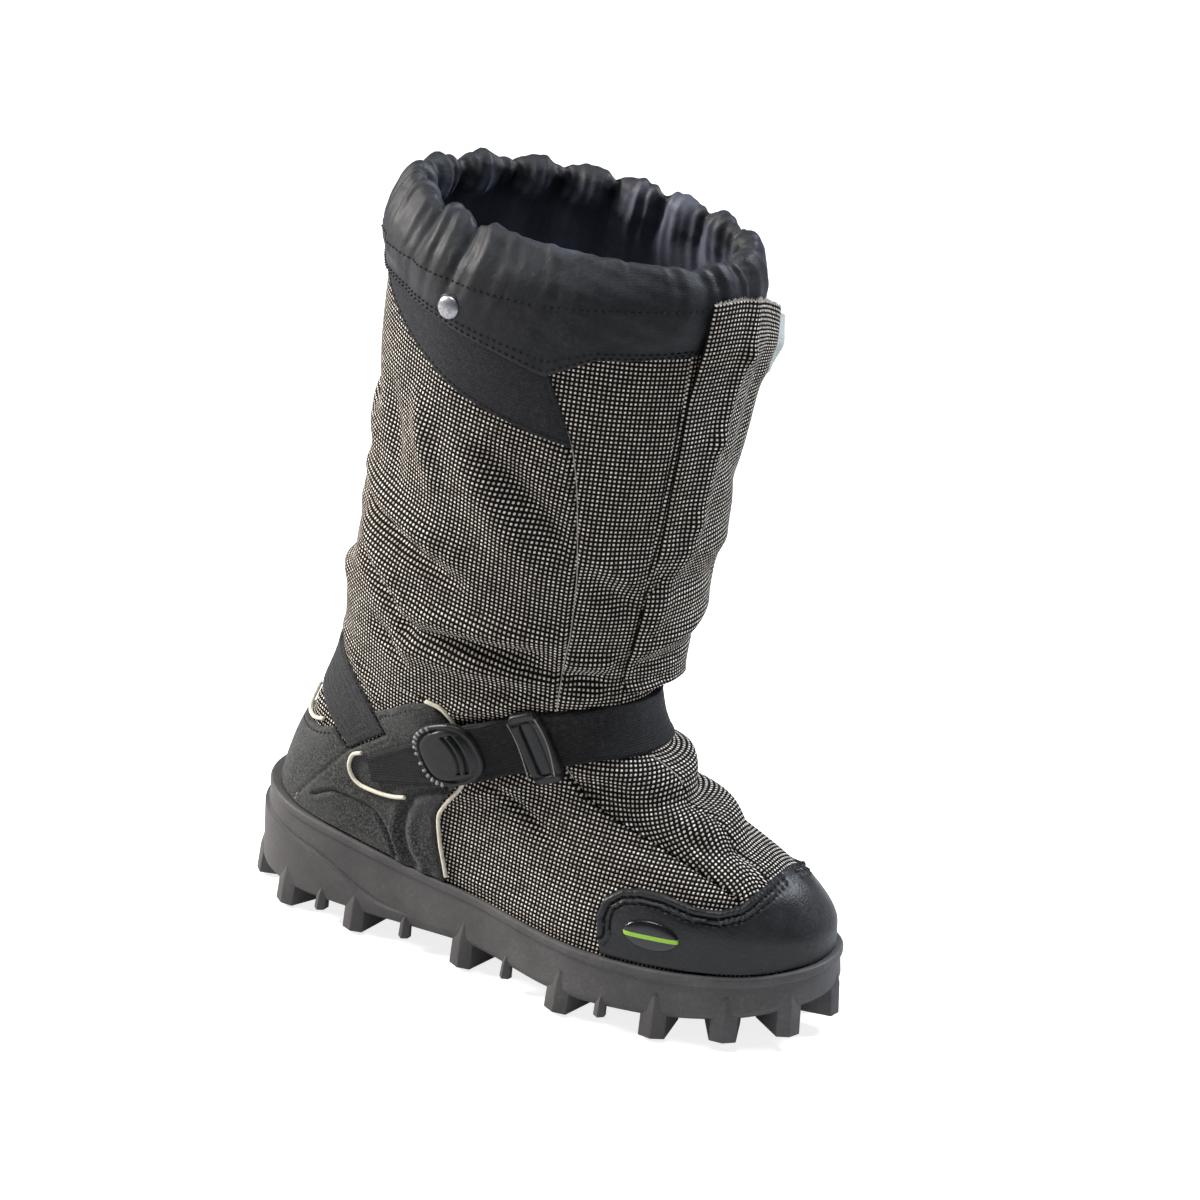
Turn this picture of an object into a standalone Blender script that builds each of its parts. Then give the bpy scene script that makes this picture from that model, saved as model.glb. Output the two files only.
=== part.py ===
"""Winter overshoe for the right foot: a tall fabric gaiter on a studded rubber sole.

Sizes are in millimetres, measured from the back of the heel, and become metres from
ORIGIN in in_metres(). X runs from the heel to the toe, Y from the outer (lateral)
side to the inner side, Z up from the floor.
"""
import math

import bmesh
import bpy
import numpy as np

for old in list(bpy.data.objects):
    bpy.data.objects.remove(old, do_unlink=True)

MM = 0.001
ORIGIN = (162.0, -1.0, 0.0)   # the middle of the overshoe's box, on the floor
SOLE_LENGTH = 324.0
GAP = 0.3                # between pieces that lie on each other
SOLE_GAP = 0.6           # between the sole's cup and the upper
WALL = 2.2               # upper
OVERLAY = 2.0            # toe cap and heel counter
PANEL = 0.9              # plain panel under the collar
WEBBING = 1.8            # straps
PLASTIC = 3.4            # pull tab and buckle
FLAP_WALL = 2.0
INSOLE_THICKNESS = 3.0
PIPING_RADIUS = 1.1
PIPING_STEP = 7.0        # between the points of a piping's route
STUD_DROP = 2.0          # studs stand this far below their lugs
STUD_RADIUS = 4.0
STUD_TIP_RADIUS = 2.6
UPPER_COUNT = 42         # points round the upper
SOLE_COUNT = 56          # points round the sole
INSOLE_COUNT = 40
SQUARENESS = 2.15        # exponent of the heel's and toe's round ends
LATERAL, MEDIAL = -1, 1

# One tilted loop per row: its back and front points, then the half widths at heel,
# waist and ball on each side, the share of the length taken by each round end, and
# how far the toe swings to the inner side.
SECTION_COLUMNS = ("level", "back_x", "back_z", "front_x", "front_z",
                   "heel_out", "waist_out", "ball_out", "heel_in", "waist_in", "ball_in",
                   "round_back", "round_front", "swing")
UPPER_SECTIONS = (
    (0.00, 8, 57, 318, 43, 43, 42, 55, 41, 38, 54, .17, .36, 16),
    (0.08, 11, 70, 318, 56, 43, 43, 53, 41, 39, 53, .17, .38, 15),
    (0.16, 16, 86, 307, 74, 42, 43, 48, 40, 40, 47, .18, .42, 12),
    (0.24, 22, 100, 279, 92, 42, 44, 42, 40, 41, 41, .22, .46, 9),
    (0.32, 28, 115, 250, 108, 42, 46, 42, 40, 43, 40, .27, .48, 6),
    (0.40, 34, 130, 230, 125, 43, 49, 45, 41, 46, 42, .33, .48, 4),
    (0.48, 39, 147, 216, 145, 46, 52, 50, 44, 50, 47, .40, .50, 3),
    (0.54, 40, 162, 212, 163, 50, 56, 54, 50, 56, 53, .45, .50, 2),
    (0.60, 41, 180, 216, 182, 55, 60, 58, 55, 60, 58, .48, .50, 2),
    (0.66, 44, 200, 222, 200, 60, 63, 62, 60, 63, 62, .50, .50, 2),
    (0.76, 54, 245, 231, 245, 66, 69, 68, 66, 69, 68, .50, .50, 2),
    (1.00, 58, 366, 240, 355, 70, 74, 72, 70, 74, 72, .50, .50, 2),
    (1.07, 59, 386, 241, 382, 70, 74, 72, 70, 74, 72, .50, .50, 2),
)
UPPER_LEVELS = (0.00, 0.06, 0.12, 0.18, 0.24, 0.30, 0.36, 0.42, 0.48, 0.54, 0.61, 0.70,
                0.80, 1.00)
LIP_SECTION = (0, 0, 0, SOLE_LENGTH, 0, 47, 45, 59, 46, 41, 60, .17, .36, 16)
BASE_SECTION = (0, 0, 0, SOLE_LENGTH, 0, 48, 46, 61, 47, 41, 61, .17, .36, 16)
BED_SECTION = (0, 11, 0, 312, 0, 42, 40, 53, 40, 36, 53, .17, .36, 16)

# Heights along the sole: the bed the foot stands on, the top of the side wall, the
# step round the heel, the underside between lugs and the underside of the lugs.
HEIGHT_COLUMNS = ("x", "bed", "lip", "step", "base", "tread")
SOLE_HEIGHTS = (
    (0, 20, 60, 47, 13, 2),
    (50, 19, 54, 38, 11, 2),
    (100, 18, 47, 20, 12, 2),
    (150, 17, 42, 18, 14, 2),
    (200, 16, 38, 15, 11, 2),
    (250, 17, 37, 16, 12, 2),
    (290, 21, 39, 20, 16, 7),
    (SOLE_LENGTH, 30, 45, 29, 24, 16),
)
HEEL_STEP = 1.8          # the heel's lower wall stands this far out
HEEL_STEP_END = (92.0, 118.0)
STEP_SLOPE = 1.4
BEAD_PROUD, BEAD_HEIGHT = 1.2, 4.2       # the bead along the top of the side wall

# Lugs round the edge, each at the outline point nearest to x, y.
LUG_COLUMNS = ("x", "y", "width", "depth", "rise", "stud")
EDGE_LUGS = (
    (1, -26, 17, 20, 15, 0), (38, -41, 17, 22, 16, 1), (81, -47, 16, 20, 15, 1),
    (145, -59, 17, 20, 14, 0), (207, -66, 18, 22, 14, 1), (262, -56, 18, 22, 14, 1),
    (291, -31, 18, 20, 14, 1), (312, -7, 17, 20, 13, 1), (323, 24, 16, 18, 12, 0),
    (4, 14, 16, 18, 14, 0), (25, 42, 17, 22, 16, 1), (68, 47, 16, 20, 15, 1),
    (118, 43, 16, 18, 13, 0), (172, 46, 17, 20, 14, 0), (212, 58, 18, 22, 14, 1),
    (254, 66, 18, 22, 14, 1), (289, 63, 18, 20, 13, 1), (312, 48, 16, 18, 12, 0),
)
EDGE_RIBS = (
    (60, -46, 8, 6, 9, 0), (111, -51, 8, 6, 9, 0), (172, -62, 8, 6, 9, 0),
    (234, -63, 8, 6, 9, 0), (47, 47, 8, 6, 9, 0), (94, 46, 8, 6, 9, 0),
    (145, 43, 8, 6, 9, 0), (192, 52, 8, 6, 9, 0), (233, 64, 8, 6, 9, 0),
)
RIB_LIFT = 5.0           # the ribs end this far above the lugs
LUG_TAPER = 0.75         # a lug's width at the sole's edge, as a share of its inner width
LUG_OUT = 0.6            # a lug's foot stands this far past the side wall
LUG_SINK = 2.5           # lugs and ridges reach this far into the sole
LUG_SHOULDER = 3.0       # height above the underside where a lug's flanks end
RIDGE_OUT = (2.8, 1.4, -1.2)             # how far out a ridge stands: foot, shoulder, tip
RIDGE_SHOULDER = 4.0
BLOCK_TAPER = (0.8, 0.85)                # a block's length and width at its tread
BLOCK_COLUMNS = ("x", "y", "length", "width", "stud")
TREAD_BLOCKS = (
    (55, 0, 24, 20, 0), (88, 2, 20, 22, 0), (168, -4, 20, 24, 0), (200, 2, 20, 26, 0),
    (232, 4, 20, 28, 1), (264, 12, 20, 26, 0), (290, 18, 16, 22, 0),
)

# Side-view outlines, as (x, z), of the pieces that are cut from the upper's form.
TOE_CAP_EDGE = ((226, 0), (223, 50), (222, 58), (224, 67), (231, 73), (240, 75), (252, 74.5),
                (268, 71), (278, 71), (286, 74), (292, 82), (296, 100), (345, 100), (345, 0))
COUNTER_EDGE = ((-20, 98), (25, 98), (45, 101), (55.5, 105.5), (67.5, 97.6), (91.8, 115),
                (83.5, 124.5), (95, 131), (108, 139), (117, 142), (124, 141), (131, 136),
                (137.5, 124), (139.5, 112), (135, 100), (126.5, 88), (123, 79), (125, 66),
                (128, 54), (129.5, 49.5))
HEEL_STRAP_EDGE = ((-20, 122), (33, 120), (56, 106.5), (68, 98.5), (91, 115.5),
                   (82, 124.5), (65, 137.5), (48, 146.5), (30, 151), (-20, 152))
ANKLE_STRAP_EDGE = ((79, 84.6), (117, 95), (147, 106.5), (188, 124), (205, 130), (260, 138),
                    (260, 162), (212, 158), (202, 157.5), (179, 153), (142, 139), (119, 124.5),
                    (79, 98.5))
PANEL_LOW_EDGE = ((75, 353), (86, 343), (101, 333), (117, 325), (133, 317), (149, 311), (174, 304),
                  (194, 299), (190, 313))
HEEL_PIPING = ((33, 115.5), (28.5, 110), (27.5, 104.5), (31, 101.8), (38, 102.4), (43, 104.2),
               (47, 105.8))
SLOT_PIPING = ((78, 100.4), (72.5, 97.5), (70.5, 91), (73.5, 85), (80, 82), (89, 81.6),
               (98, 82.4), (106, 84.6))
COUNTER_PIPING = ((118.5, 144.3), (126, 143), (133, 137.4), (140, 125), (142, 112),
                  (137.4, 99.5), (129, 87.5), (125.4, 79), (127.4, 66.3), (130.2, 55), (132, 47.5))
STRAP_HIGH, STRAP_LOW = 3.7, 0.5         # the ankle strap over the counter, then on the instep
STRAP_SETTLES = (147.0, 163.0)
STRAP_DIRECTION = math.radians(24)
PULL_TAB = (133, 120, 36, 35)            # x, z, length, width
BUCKLE = (177, 134, 17, 40)
BUCKLE_WINDOW = (177, 134, 6, 29)
BADGE = (250, 54, 27, 15)
BADGE_TILT = math.radians(-4)

COLLAR_LEG = 1.5
COLLAR_GAP = 0.4         # between the collar and the shaft
HEM_COLUMNS = ("x", "z")
COLLAR_HEM = ((50, 359), (85, 355.5), (127, 348), (157, 340), (181, 333), (202, 344), (240, 347))
# Round the collar's cross-section above the shaft, from outside over the rim to inside.
COLLAR_COLUMNS = ("back_x", "back_z", "front_x", "front_z", "half_out", "half_in", "gather")
COLLAR_SECTIONS = (
    (53.5, 371, 245, 360, 75, 75, 0.8),
    (51.5, 382, 246, 371, 73, 74, 1.8),
    (53.5, 393, 244, 381, 67, 69, 2.6),
    (59.0, 399, 239, 387, 61, 64, 2.8),
    (65.5, 394, 233, 383, 56, 59, 2.4),
    (66.0, 384, 233, 373, 58, 60, 2.2),
    (63.5, 371, 235, 361, 64, 65, 1.2),
)
# Gathers: waves round the rim, as (waves, share of the height, phase).
GATHERS = ((13, 0.55, 0.4), (21, 0.30, 1.9), (8, 0.15, 2.7))

# The flap of the front gusset, along its height: where it starts and ends round the
# upper (0 is the heel, 0.5 the front), and how far its root and free edge stand off.
FLAP_COLUMNS = ("z", "root", "edge", "root_off", "edge_off")
FLAP_ROWS = (
    (164, 0.462, 0.555, 1.6, 12.0),
    (180, 0.452, 0.565, 0.5, 10.0),
    (220, 0.445, 0.575, 0.5, 7.0),
    (275, 0.445, 0.585, 0.5, 6.0),
    (320, 0.447, 0.590, 0.5, 9.0),
    (338, 0.448, 0.590, 2.8, 11.0),
    (352, 0.449, 0.590, 5.4, 12.5),
    (376, 0.450, 0.590, 6.6, 13.5),
)
FLAP_STOPS = (164, 172, 180, 200, 225, 250, 275, 298, 320, 329, 338, 345, 352, 364, 376)
FLAP_COLUMNS_COUNT = 7
FLAP_CORNER = 10.0       # the free corner at the top is rounded by this much
FLAP_CORNER_START = 0.6  # share of the flap's width where that rounding starts
FLAP_CORNER_HEIGHT = 40.0
PATCH_ROWS = (318, 332, 346, 360)
PATCH_THICKNESS = 1.4
PATCH_SPAN = (0.70, 1.05)               # across the flap: the strip shows past its free edge

SNAP = (130, 356, 5.0, 2.6)              # x, z, radius, height
SNAP_DOME = ((1.0, 0.0), (1.0, 0.35), (0.82, 0.75), (0.45, 1.0))   # shares of radius, height
BACK_TAB = (358, 384, 11.0, 1.8)         # lowest z, highest z, width, thickness


def curve_through(xs, ys, at):
    """Monotone cubic through the points xs, ys, read at the values in at."""
    xs, ys, at = np.asarray(xs, float), np.asarray(ys, float), np.asarray(at, float)
    step = np.diff(xs)
    rise = np.diff(ys) / step
    slope = np.empty(len(xs))
    slope[0], slope[-1] = rise[0], rise[-1]
    for i in range(1, len(xs) - 1):
        if rise[i - 1] * rise[i] <= 0:
            slope[i] = 0.0
            continue
        near, far = 2 * step[i] + step[i - 1], step[i] + 2 * step[i - 1]
        slope[i] = (near + far) / (near / rise[i - 1] + far / rise[i])
    i = np.clip(np.searchsorted(xs, at, side="right") - 1, 0, len(xs) - 2)
    t = np.clip((at - xs[i]) / step[i], 0, 1)
    return (ys[i] * (2 * t ** 3 - 3 * t ** 2 + 1) + ys[i + 1] * (3 * t ** 2 - 2 * t ** 3)
            + step[i] * (slope[i] * (t ** 3 - 2 * t ** 2 + t) + slope[i + 1] * (t ** 3 - t ** 2)))


def ease(value, low, high):
    t = np.clip((value - low) / (high - low), 0, 1)
    return t * t * (3 - 2 * t)


def table(columns, rows):
    """The rows as one array per named column."""
    return dict(zip(columns, np.array(rows, float).T))


HEIGHTS = table(HEIGHT_COLUMNS, SOLE_HEIGHTS)


def height(name, x):
    return curve_through(HEIGHTS["x"], HEIGHTS[name], x)


def section_at(level):
    columns = table(SECTION_COLUMNS, UPPER_SECTIONS)
    return {name: float(curve_through(columns["level"], columns[name], level))
            for name in SECTION_COLUMNS}


def section_loop(section, count):
    """Points of one loop: from the heel's back along the lateral side to the toe and back."""
    u = 0.5 - 0.5 * np.cos(np.linspace(0, math.pi, 300))
    shares = (-0.2, 0.17, 0.42, 0.70, 1.2)
    back = (1 - (1 - np.clip(u / section["round_back"], 0, 1)) ** SQUARENESS) ** (1 / SQUARENESS)
    front = (1 - (1 - np.clip((1 - u) / section["round_front"], 0, 1)) ** SQUARENESS)
    front = front ** (1 / SQUARENESS)
    swing = section["swing"] * ease(u, 0.35, 1.0)
    x = section["back_x"] + (section["front_x"] - section["back_x"]) * u
    z = section["back_z"] + (section["front_z"] - section["back_z"]) * u
    paths = []
    for side, end in ((LATERAL, "out"), (MEDIAL, "in")):
        heel, waist, ball = (section[f"{part}_{end}"] for part in ("heel", "waist", "ball"))
        width = curve_through(shares, (heel, heel, waist, ball, ball), u)
        paths.append(np.stack([x, side * width * back * front + swing, z], axis=-1))
    steps = sum(np.linalg.norm(np.diff(path, axis=0), axis=1) for path in paths) / 2
    run = np.concatenate([[0], np.cumsum(steps)])
    stops = np.linspace(0, run[-1], count // 2 + 1)
    lateral, medial = (np.stack([np.interp(stops, run, path[:, axis]) for axis in range(3)], -1)
                       for path in paths)
    return np.vstack([lateral, medial[-2:0:-1]])


def named_section(row):
    return dict(zip(SECTION_COLUMNS, row))


def loop_normals(loop):
    """Outward directions in plan."""
    along = np.roll(loop, -1, axis=0) - np.roll(loop, 1, axis=0)
    out = np.stack([along[:, 1], -along[:, 0], np.zeros(len(loop))], axis=-1)
    out /= np.linalg.norm(out, axis=1, keepdims=True)
    middle = loop.mean(axis=0)
    return out if ((loop - middle) * out).sum() > 0 else -out


def with_height(loop, heights):
    raised = loop.copy()
    raised[:, 2] = heights
    return raised


def bed_loop(count):
    loop = section_loop(named_section(BED_SECTION), count)
    return with_height(loop, height("bed", loop[:, 0]) + GAP)


def lip_loop_of_upper(count):
    loop = section_loop(section_at(0.0), count)
    return with_height(loop, height("lip", loop[:, 0]))


def upper_grid(levels, count, below_lip=True):
    """Loops of the upper's outer face: the bed and the lip line, then the sections."""
    loops = [section_loop(section_at(level), count) for level in levels if level > 0]
    first = [bed_loop(count), lip_loop_of_upper(count)] if below_lip else []
    return np.array(first + loops)


def grid_normals(grid):
    around = np.roll(grid, -1, axis=1) - np.roll(grid, 1, axis=1)
    upward = np.gradient(grid, axis=0)
    out = np.cross(around, upward)
    out /= np.linalg.norm(out, axis=2, keepdims=True)
    for row in (0, 1):
        out[row] = loop_normals(grid[row])
    middle = grid.mean(axis=1, keepdims=True)
    return out if ((grid - middle) * out).sum() > 0 else -out


UPPER = upper_grid(UPPER_LEVELS, UPPER_COUNT)
UPPER_OUT = grid_normals(UPPER)
FORM_LEVELS = tuple(np.linspace(0, 1.07, 160))
FORM = upper_grid(FORM_LEVELS, 208)
FORM_OUT = grid_normals(FORM)


def skin(grow, first=0, last=None):
    """The upper's loops moved outward by grow, a number or a function of the points."""
    amount = grow(UPPER) if callable(grow) else grow
    moved = UPPER + UPPER_OUT * (amount[..., None] if np.ndim(amount) else amount)
    return moved[first:last]


def material(name, colour, roughness, metallic=0.0):
    made = bpy.data.materials.new(name)
    made.use_nodes = True
    shader = made.node_tree.nodes["Principled BSDF"]
    shader.inputs["Base Color"].default_value = (*colour, 1.0)
    shader.inputs["Roughness"].default_value = roughness
    shader.inputs["Metallic"].default_value = metallic
    return made


def in_metres(point):
    return tuple((float(value) - start) * MM for value, start in zip(point, ORIGIN))


def new_object(name, points, faces, finish=None):
    """An object from points in millimetres, with its faces turned outward."""
    mesh = bpy.data.meshes.new(name)
    mesh.from_pydata([in_metres(point) for point in points], [], faces)
    shell = bmesh.new()
    shell.from_mesh(mesh)
    bmesh.ops.recalc_face_normals(shell, faces=shell.faces)
    shell.to_mesh(mesh)
    shell.free()
    made = bpy.data.objects.new(name, mesh)
    bpy.context.scene.collection.objects.link(made)
    if finish is not None:
        mesh.materials.append(finish)
    return made


def band_faces(rows, count, closed_rows=False):
    """Quads between neighbouring loops of a stack."""
    faces = []
    for row in range(rows if closed_rows else rows - 1):
        upper_row = (row + 1) % rows
        for k in range(count):
            following = (k + 1) % count
            faces.append((row * count + k, row * count + following,
                          upper_row * count + following, upper_row * count + k))
    return faces


def cross_faces(start, count):
    """Quads across one loop, from each lateral point to the medial point opposite it."""
    faces = [(start, start + 1, start + count - 1)]
    for k in range(1, count // 2 - 1):
        faces.append((start + k, start + k + 1, start + count - k - 1, start + count - k))
    faces.append((start + count // 2 - 1, start + count // 2, start + count // 2 + 1))
    return faces


def ring_solid(name, loops, finish):
    """A ring whose cross-section runs through the loops and back to the first."""
    loops = np.asarray(loops)
    rows, count = loops.shape[:2]
    return new_object(name, loops.reshape(-1, 3), band_faces(rows, count, True), finish)


def skin_faces(start, rows, count):
    """Triangles over a stack of loops, all split the same way, so offset skins stay parallel."""
    faces = []
    for a, b, c, d in band_faces(rows, count):
        faces += [(start + a, start + b, start + c), (start + a, start + c, start + d)]
    return faces


def shell_solid(name, inner, outer, finish):
    """A wall between two stacks of loops."""
    rows, count = inner.shape[:2]
    size = rows * count
    faces = skin_faces(0, rows, count) + skin_faces(size, rows, count)
    for row in (0, rows - 1):
        for k in range(count):
            a, b = row * count + k, row * count + (k + 1) % count
            faces.append((a, b, size + b, size + a))
    return new_object(name, np.concatenate([inner, outer]).reshape(-1, 3), faces, finish)


def stack_solid(name, loops, finish):
    """A solid through a stack of loops, closed across the first and the last."""
    loops = np.asarray(loops)
    rows, count = loops.shape[:2]
    faces = band_faces(rows, count) + cross_faces(0, count) + cross_faces((rows - 1) * count, count)
    return new_object(name, loops.reshape(-1, 3), faces, finish)


def sheet_solid(name, inner, outer, finish):
    """A wall between two open grids of the same size."""
    rows, columns = inner.shape[:2]
    size = rows * columns
    faces = []
    for row in range(rows - 1):
        for column in range(columns - 1):
            corner = row * columns + column
            quad = (corner, corner + 1, corner + columns + 1, corner + columns)
            faces += [quad, tuple(size + c for c in reversed(quad))]
    rim = [c for c in range(columns)] + [r * columns + columns - 1 for r in range(1, rows)]
    rim += [(rows - 1) * columns + c for c in range(columns - 2, -1, -1)]
    rim += [r * columns for r in range(rows - 2, 0, -1)]
    for a, b in zip(rim, rim[1:] + rim[:1]):
        faces.append((a, size + a, size + b, b))
    points = np.concatenate([inner.reshape(-1, 3), outer.reshape(-1, 3)])
    return new_object(name, points, faces, finish)


def hide_cutter(cutter):
    cutter.hide_render = True
    cutter.display_type = "WIRE"
    return cutter


def side_cutter(name, outline, y_from=-150.0, y_to=150.0):
    """A prism along Y with the side-view outline."""
    count = len(outline)
    points = [(x, y, z) for y in (y_from, y_to) for x, z in outline]
    faces = [tuple(range(count)), tuple(reversed(range(count, 2 * count)))]
    faces += [(k, (k + 1) % count, count + (k + 1) % count, count + k) for k in range(count)]
    return hide_cutter(new_object(name, points, faces))


def cut(target, cutter, operation):
    step = target.modifiers.new(operation.title(), "BOOLEAN")
    step.operation = operation
    step.solver = "EXACT"
    step.object = cutter
    return target


def above_lip(x_from, x_to, step=8.0, gap=0.4):
    """Side-view points just above the sole's side wall, from x_from to x_to."""
    stops = np.linspace(x_from, x_to, max(2, int(abs(x_to - x_from) / step) + 1))
    return [(float(x), float(height("lip", x)) + gap) for x in stops]


def turned_ellipse(place, tilt, count, power=2.0):
    """Side-view outline of a rounded shape: x, z, length and width in place."""
    x, z, length, width = place
    outline = []
    for k in range(count):
        angle = 2 * math.pi * (k + 0.5) / count
        c, s = math.cos(angle), math.sin(angle)
        a = math.copysign(abs(c) ** (2 / power), c) * length / 2
        b = math.copysign(abs(s) ** (2 / power), s) * width / 2
        outline.append((x + a * math.cos(tilt) - b * math.sin(tilt),
                        z + a * math.sin(tilt) + b * math.cos(tilt)))
    return outline


def form_point(x, z, side, grow):
    """The point nearest to x, z in the side view, on one side of the form grown by grow."""
    half = slice(0, 105) if side == LATERAL else slice(104, 208)
    grown = (FORM + FORM_OUT * grow)[2:, half]
    away = (grown[..., 0] - x) ** 2 + (grown[..., 2] - z) ** 2
    return grown[np.unravel_index(away.argmin(), away.shape)]


def form_ring(z_of_x, grow, count):
    """A loop of the upper's form at the height z_of_x, moved outward by grow."""
    columns = np.round(np.arange(count) * FORM.shape[1] / count).astype(int)
    points = []
    for column in columns:
        path, out = FORM[1:, column], FORM_OUT[1:, column]
        z = z_of_x(path[-1, 0])
        points.append([np.interp(z, path[:, 2], path[:, axis] + out[:, axis] * grow)
                       for axis in range(2)] + [z])
    return np.array(points)


def form_at(share, z, grow):
    """The point of the form at a share of the way round and a height, moved outward."""
    column = share * FORM.shape[1]
    low = int(column)
    mix = column - low
    found = []
    for k in (low, (low + 1) % FORM.shape[1]):
        path = FORM[1:, k] + FORM_OUT[1:, k] * grow
        found.append(np.array([np.interp(z, FORM[1:, k, 2], path[:, axis]) for axis in range(2)]
                              + [z]))
    return found[0] * (1 - mix) + found[1] * mix


def hull_solid(name, points, finish=None):
    mesh = bpy.data.meshes.new(name)
    shell = bmesh.new()
    for point in points:
        shell.verts.new(in_metres(point))
    result = bmesh.ops.convex_hull(shell, input=shell.verts)
    spare = [v for v in result["geom_interior"] if isinstance(v, bmesh.types.BMVert)]
    bmesh.ops.delete(shell, geom=spare, context="VERTS")
    bmesh.ops.recalc_face_normals(shell, faces=shell.faces)
    shell.to_mesh(mesh)
    shell.free()
    made = bpy.data.objects.new(name, mesh)
    bpy.context.scene.collection.objects.link(made)
    if finish is not None:
        mesh.materials.append(finish)
    return made


def edge_place(x, y):
    """The sole's outline point nearest to x, y, with its outward and forward directions."""
    loop = section_loop(named_section(BASE_SECTION), 400)
    out = loop_normals(loop)
    nearest = int(((loop[:, 0] - x) ** 2 + (loop[:, 1] - y) ** 2).argmin())
    outward = out[nearest]
    return loop[nearest], outward, np.array([-outward[1], outward[0], 0.0])


def lug_shapes(lug, lift=0.0):
    """A block under the sole's edge, and the pointed ridge that it sends up the side wall."""
    place, outward, forward = edge_place(lug["x"], lug["y"])
    place = place * (1, 1, 0)
    half = lug["width"] / 2
    inner = place - outward * lug["depth"]
    tread = float(height("tread", max(inner[0], 0.0))) + lift
    base = float(height("base", place[0]))
    inner_base = min(base, float(height("base", inner[0])))
    proud = HEEL_STEP * (1 - ease(place[0], *HEEL_STEP_END))
    shoulder = (0, 0, base + LUG_SHOULDER)
    block, ridge = [], []
    for side in (LATERAL, MEDIAL):
        across = forward * side * half
        edge = place + across * LUG_TAPER
        low = edge + outward * (proud + LUG_OUT) + (0, 0, tread)
        block += [inner + across + (0, 0, tread), inner + across + (0, 0, inner_base + LUG_SINK),
                  low, edge - outward * LUG_SINK / 2 + shoulder]
        ridge += [low, edge - outward * LUG_SINK + (0, 0, tread),
                  edge + outward * (proud - 1.0) + shoulder, edge - outward * LUG_SINK + shoulder]
    keel, crest, tip = RIDGE_OUT
    ridge += [place + outward * (proud + keel) + (0, 0, tread),
              place + outward * (proud + crest) + (0, 0, base + RIDGE_SHOULDER),
              place + outward * (proud + tip) + (0, 0, base + lug["rise"]),
              place - outward * LUG_SINK + (0, 0, base + lug["rise"] - RIDGE_SHOULDER)]
    return block, ridge


def block_points(block):
    x, y = block["x"], block["y"]
    tread, base = float(height("tread", x)), float(height("base", x))
    points = []
    for dx in (-0.5, 0.5):
        for dy in (-0.5, 0.5):
            points.append((x + dx * block["length"] * BLOCK_TAPER[0],
                           y + dy * block["width"] * BLOCK_TAPER[1], tread))
            points.append((x + dx * block["length"], y + dy * block["width"], base + LUG_SHOULDER))
    return points


def lug_tables():
    lugs = [dict(zip(LUG_COLUMNS, row)) for row in EDGE_LUGS]
    ribs = [dict(zip(LUG_COLUMNS, row)) for row in EDGE_RIBS]
    blocks = [dict(zip(BLOCK_COLUMNS, row)) for row in TREAD_BLOCKS]
    return lugs, ribs, blocks


def build_outsole(finish):
    """The cup sole: underside, stepped side wall with its bead, inner wall and bed."""
    lip = section_loop(named_section(LIP_SECTION), SOLE_COUNT)
    base = section_loop(named_section(BASE_SECTION), SOLE_COUNT)
    lip_out, base_out = loop_normals(lip), loop_normals(base)
    proud = (HEEL_STEP * (1 - ease(base[:, 0], *HEEL_STEP_END)))[:, None]
    z = {name: height(name, base[:, 0]) for name in HEIGHT_COLUMNS[1:]}
    inner_top = lip_loop_of_upper(SOLE_COUNT)
    inner_low = bed_loop(SOLE_COUNT)
    loops = [
        with_height(base - base_out * 3.0, z["base"]),
        with_height(base + base_out * (proud - 0.6), z["base"] + 2.0),
        with_height(base + base_out * proud, z["step"]),
        with_height(base - base_out * 0.2, z["step"] + STEP_SLOPE),
        with_height(lip - lip_out * BEAD_PROUD, z["lip"] - BEAD_HEIGHT - BEAD_PROUD),
        with_height(lip, z["lip"] - BEAD_HEIGHT),
        with_height(lip, z["lip"] - 1.0),
        with_height(lip - lip_out, z["lip"]),
        inner_top + loop_normals(inner_top) * SOLE_GAP,
        with_height(inner_low + loop_normals(inner_low) * SOLE_GAP, height("bed", inner_low[:, 0])),
    ]
    sole = stack_solid("outsole", loops, finish)
    lugs, ribs, blocks = lug_tables()
    shapes = [shape for lug in lugs for shape in lug_shapes(lug)]
    shapes += [lug_shapes(rib, RIB_LIFT)[1] for rib in ribs]
    shapes += [block_points(block) for block in blocks]
    for number, points in enumerate(shapes):
        cut(sole, hide_cutter(hull_solid(f"lug_form_{number}", points)), "UNION")
    return sole


def stud_places():
    """Where each stud stands, with the height of the lug's flat underside."""
    lugs, _, blocks = lug_tables()
    places = []
    for lug in (lug for lug in lugs if lug["stud"]):
        edge, outward, _ = edge_place(lug["x"], lug["y"])
        inner = edge - outward * lug["depth"]
        middle = edge - outward * lug["depth"] * 0.5
        places.append((middle[0], middle[1], float(height("tread", max(inner[0], 0.0)))))
    places += [(block["x"], block["y"], float(height("tread", block["x"])))
               for block in blocks if block["stud"]]
    return places


def build_studs(finish):
    for number, (x, y, tread) in enumerate(stud_places(), 1):
        rings = ((STUD_RADIUS, tread - GAP), (STUD_TIP_RADIUS, tread - STUD_DROP))
        points = [(x + r * math.cos(a), y + r * math.sin(a), z)
                  for r, z in rings for a in np.linspace(0, 2 * math.pi, 8, endpoint=False)]
        hull_solid(f"stud_{number}", points, finish)


def build_insole(finish):
    edge = section_loop(named_section(BED_SECTION), INSOLE_COUNT)
    low = with_height(edge - loop_normals(edge) * (WALL + 0.8),
                      height("bed", edge[:, 0]) + GAP + 0.1)
    stack_solid("insole", [low, low + (0, 0, INSOLE_THICKNESS)], finish)


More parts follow.
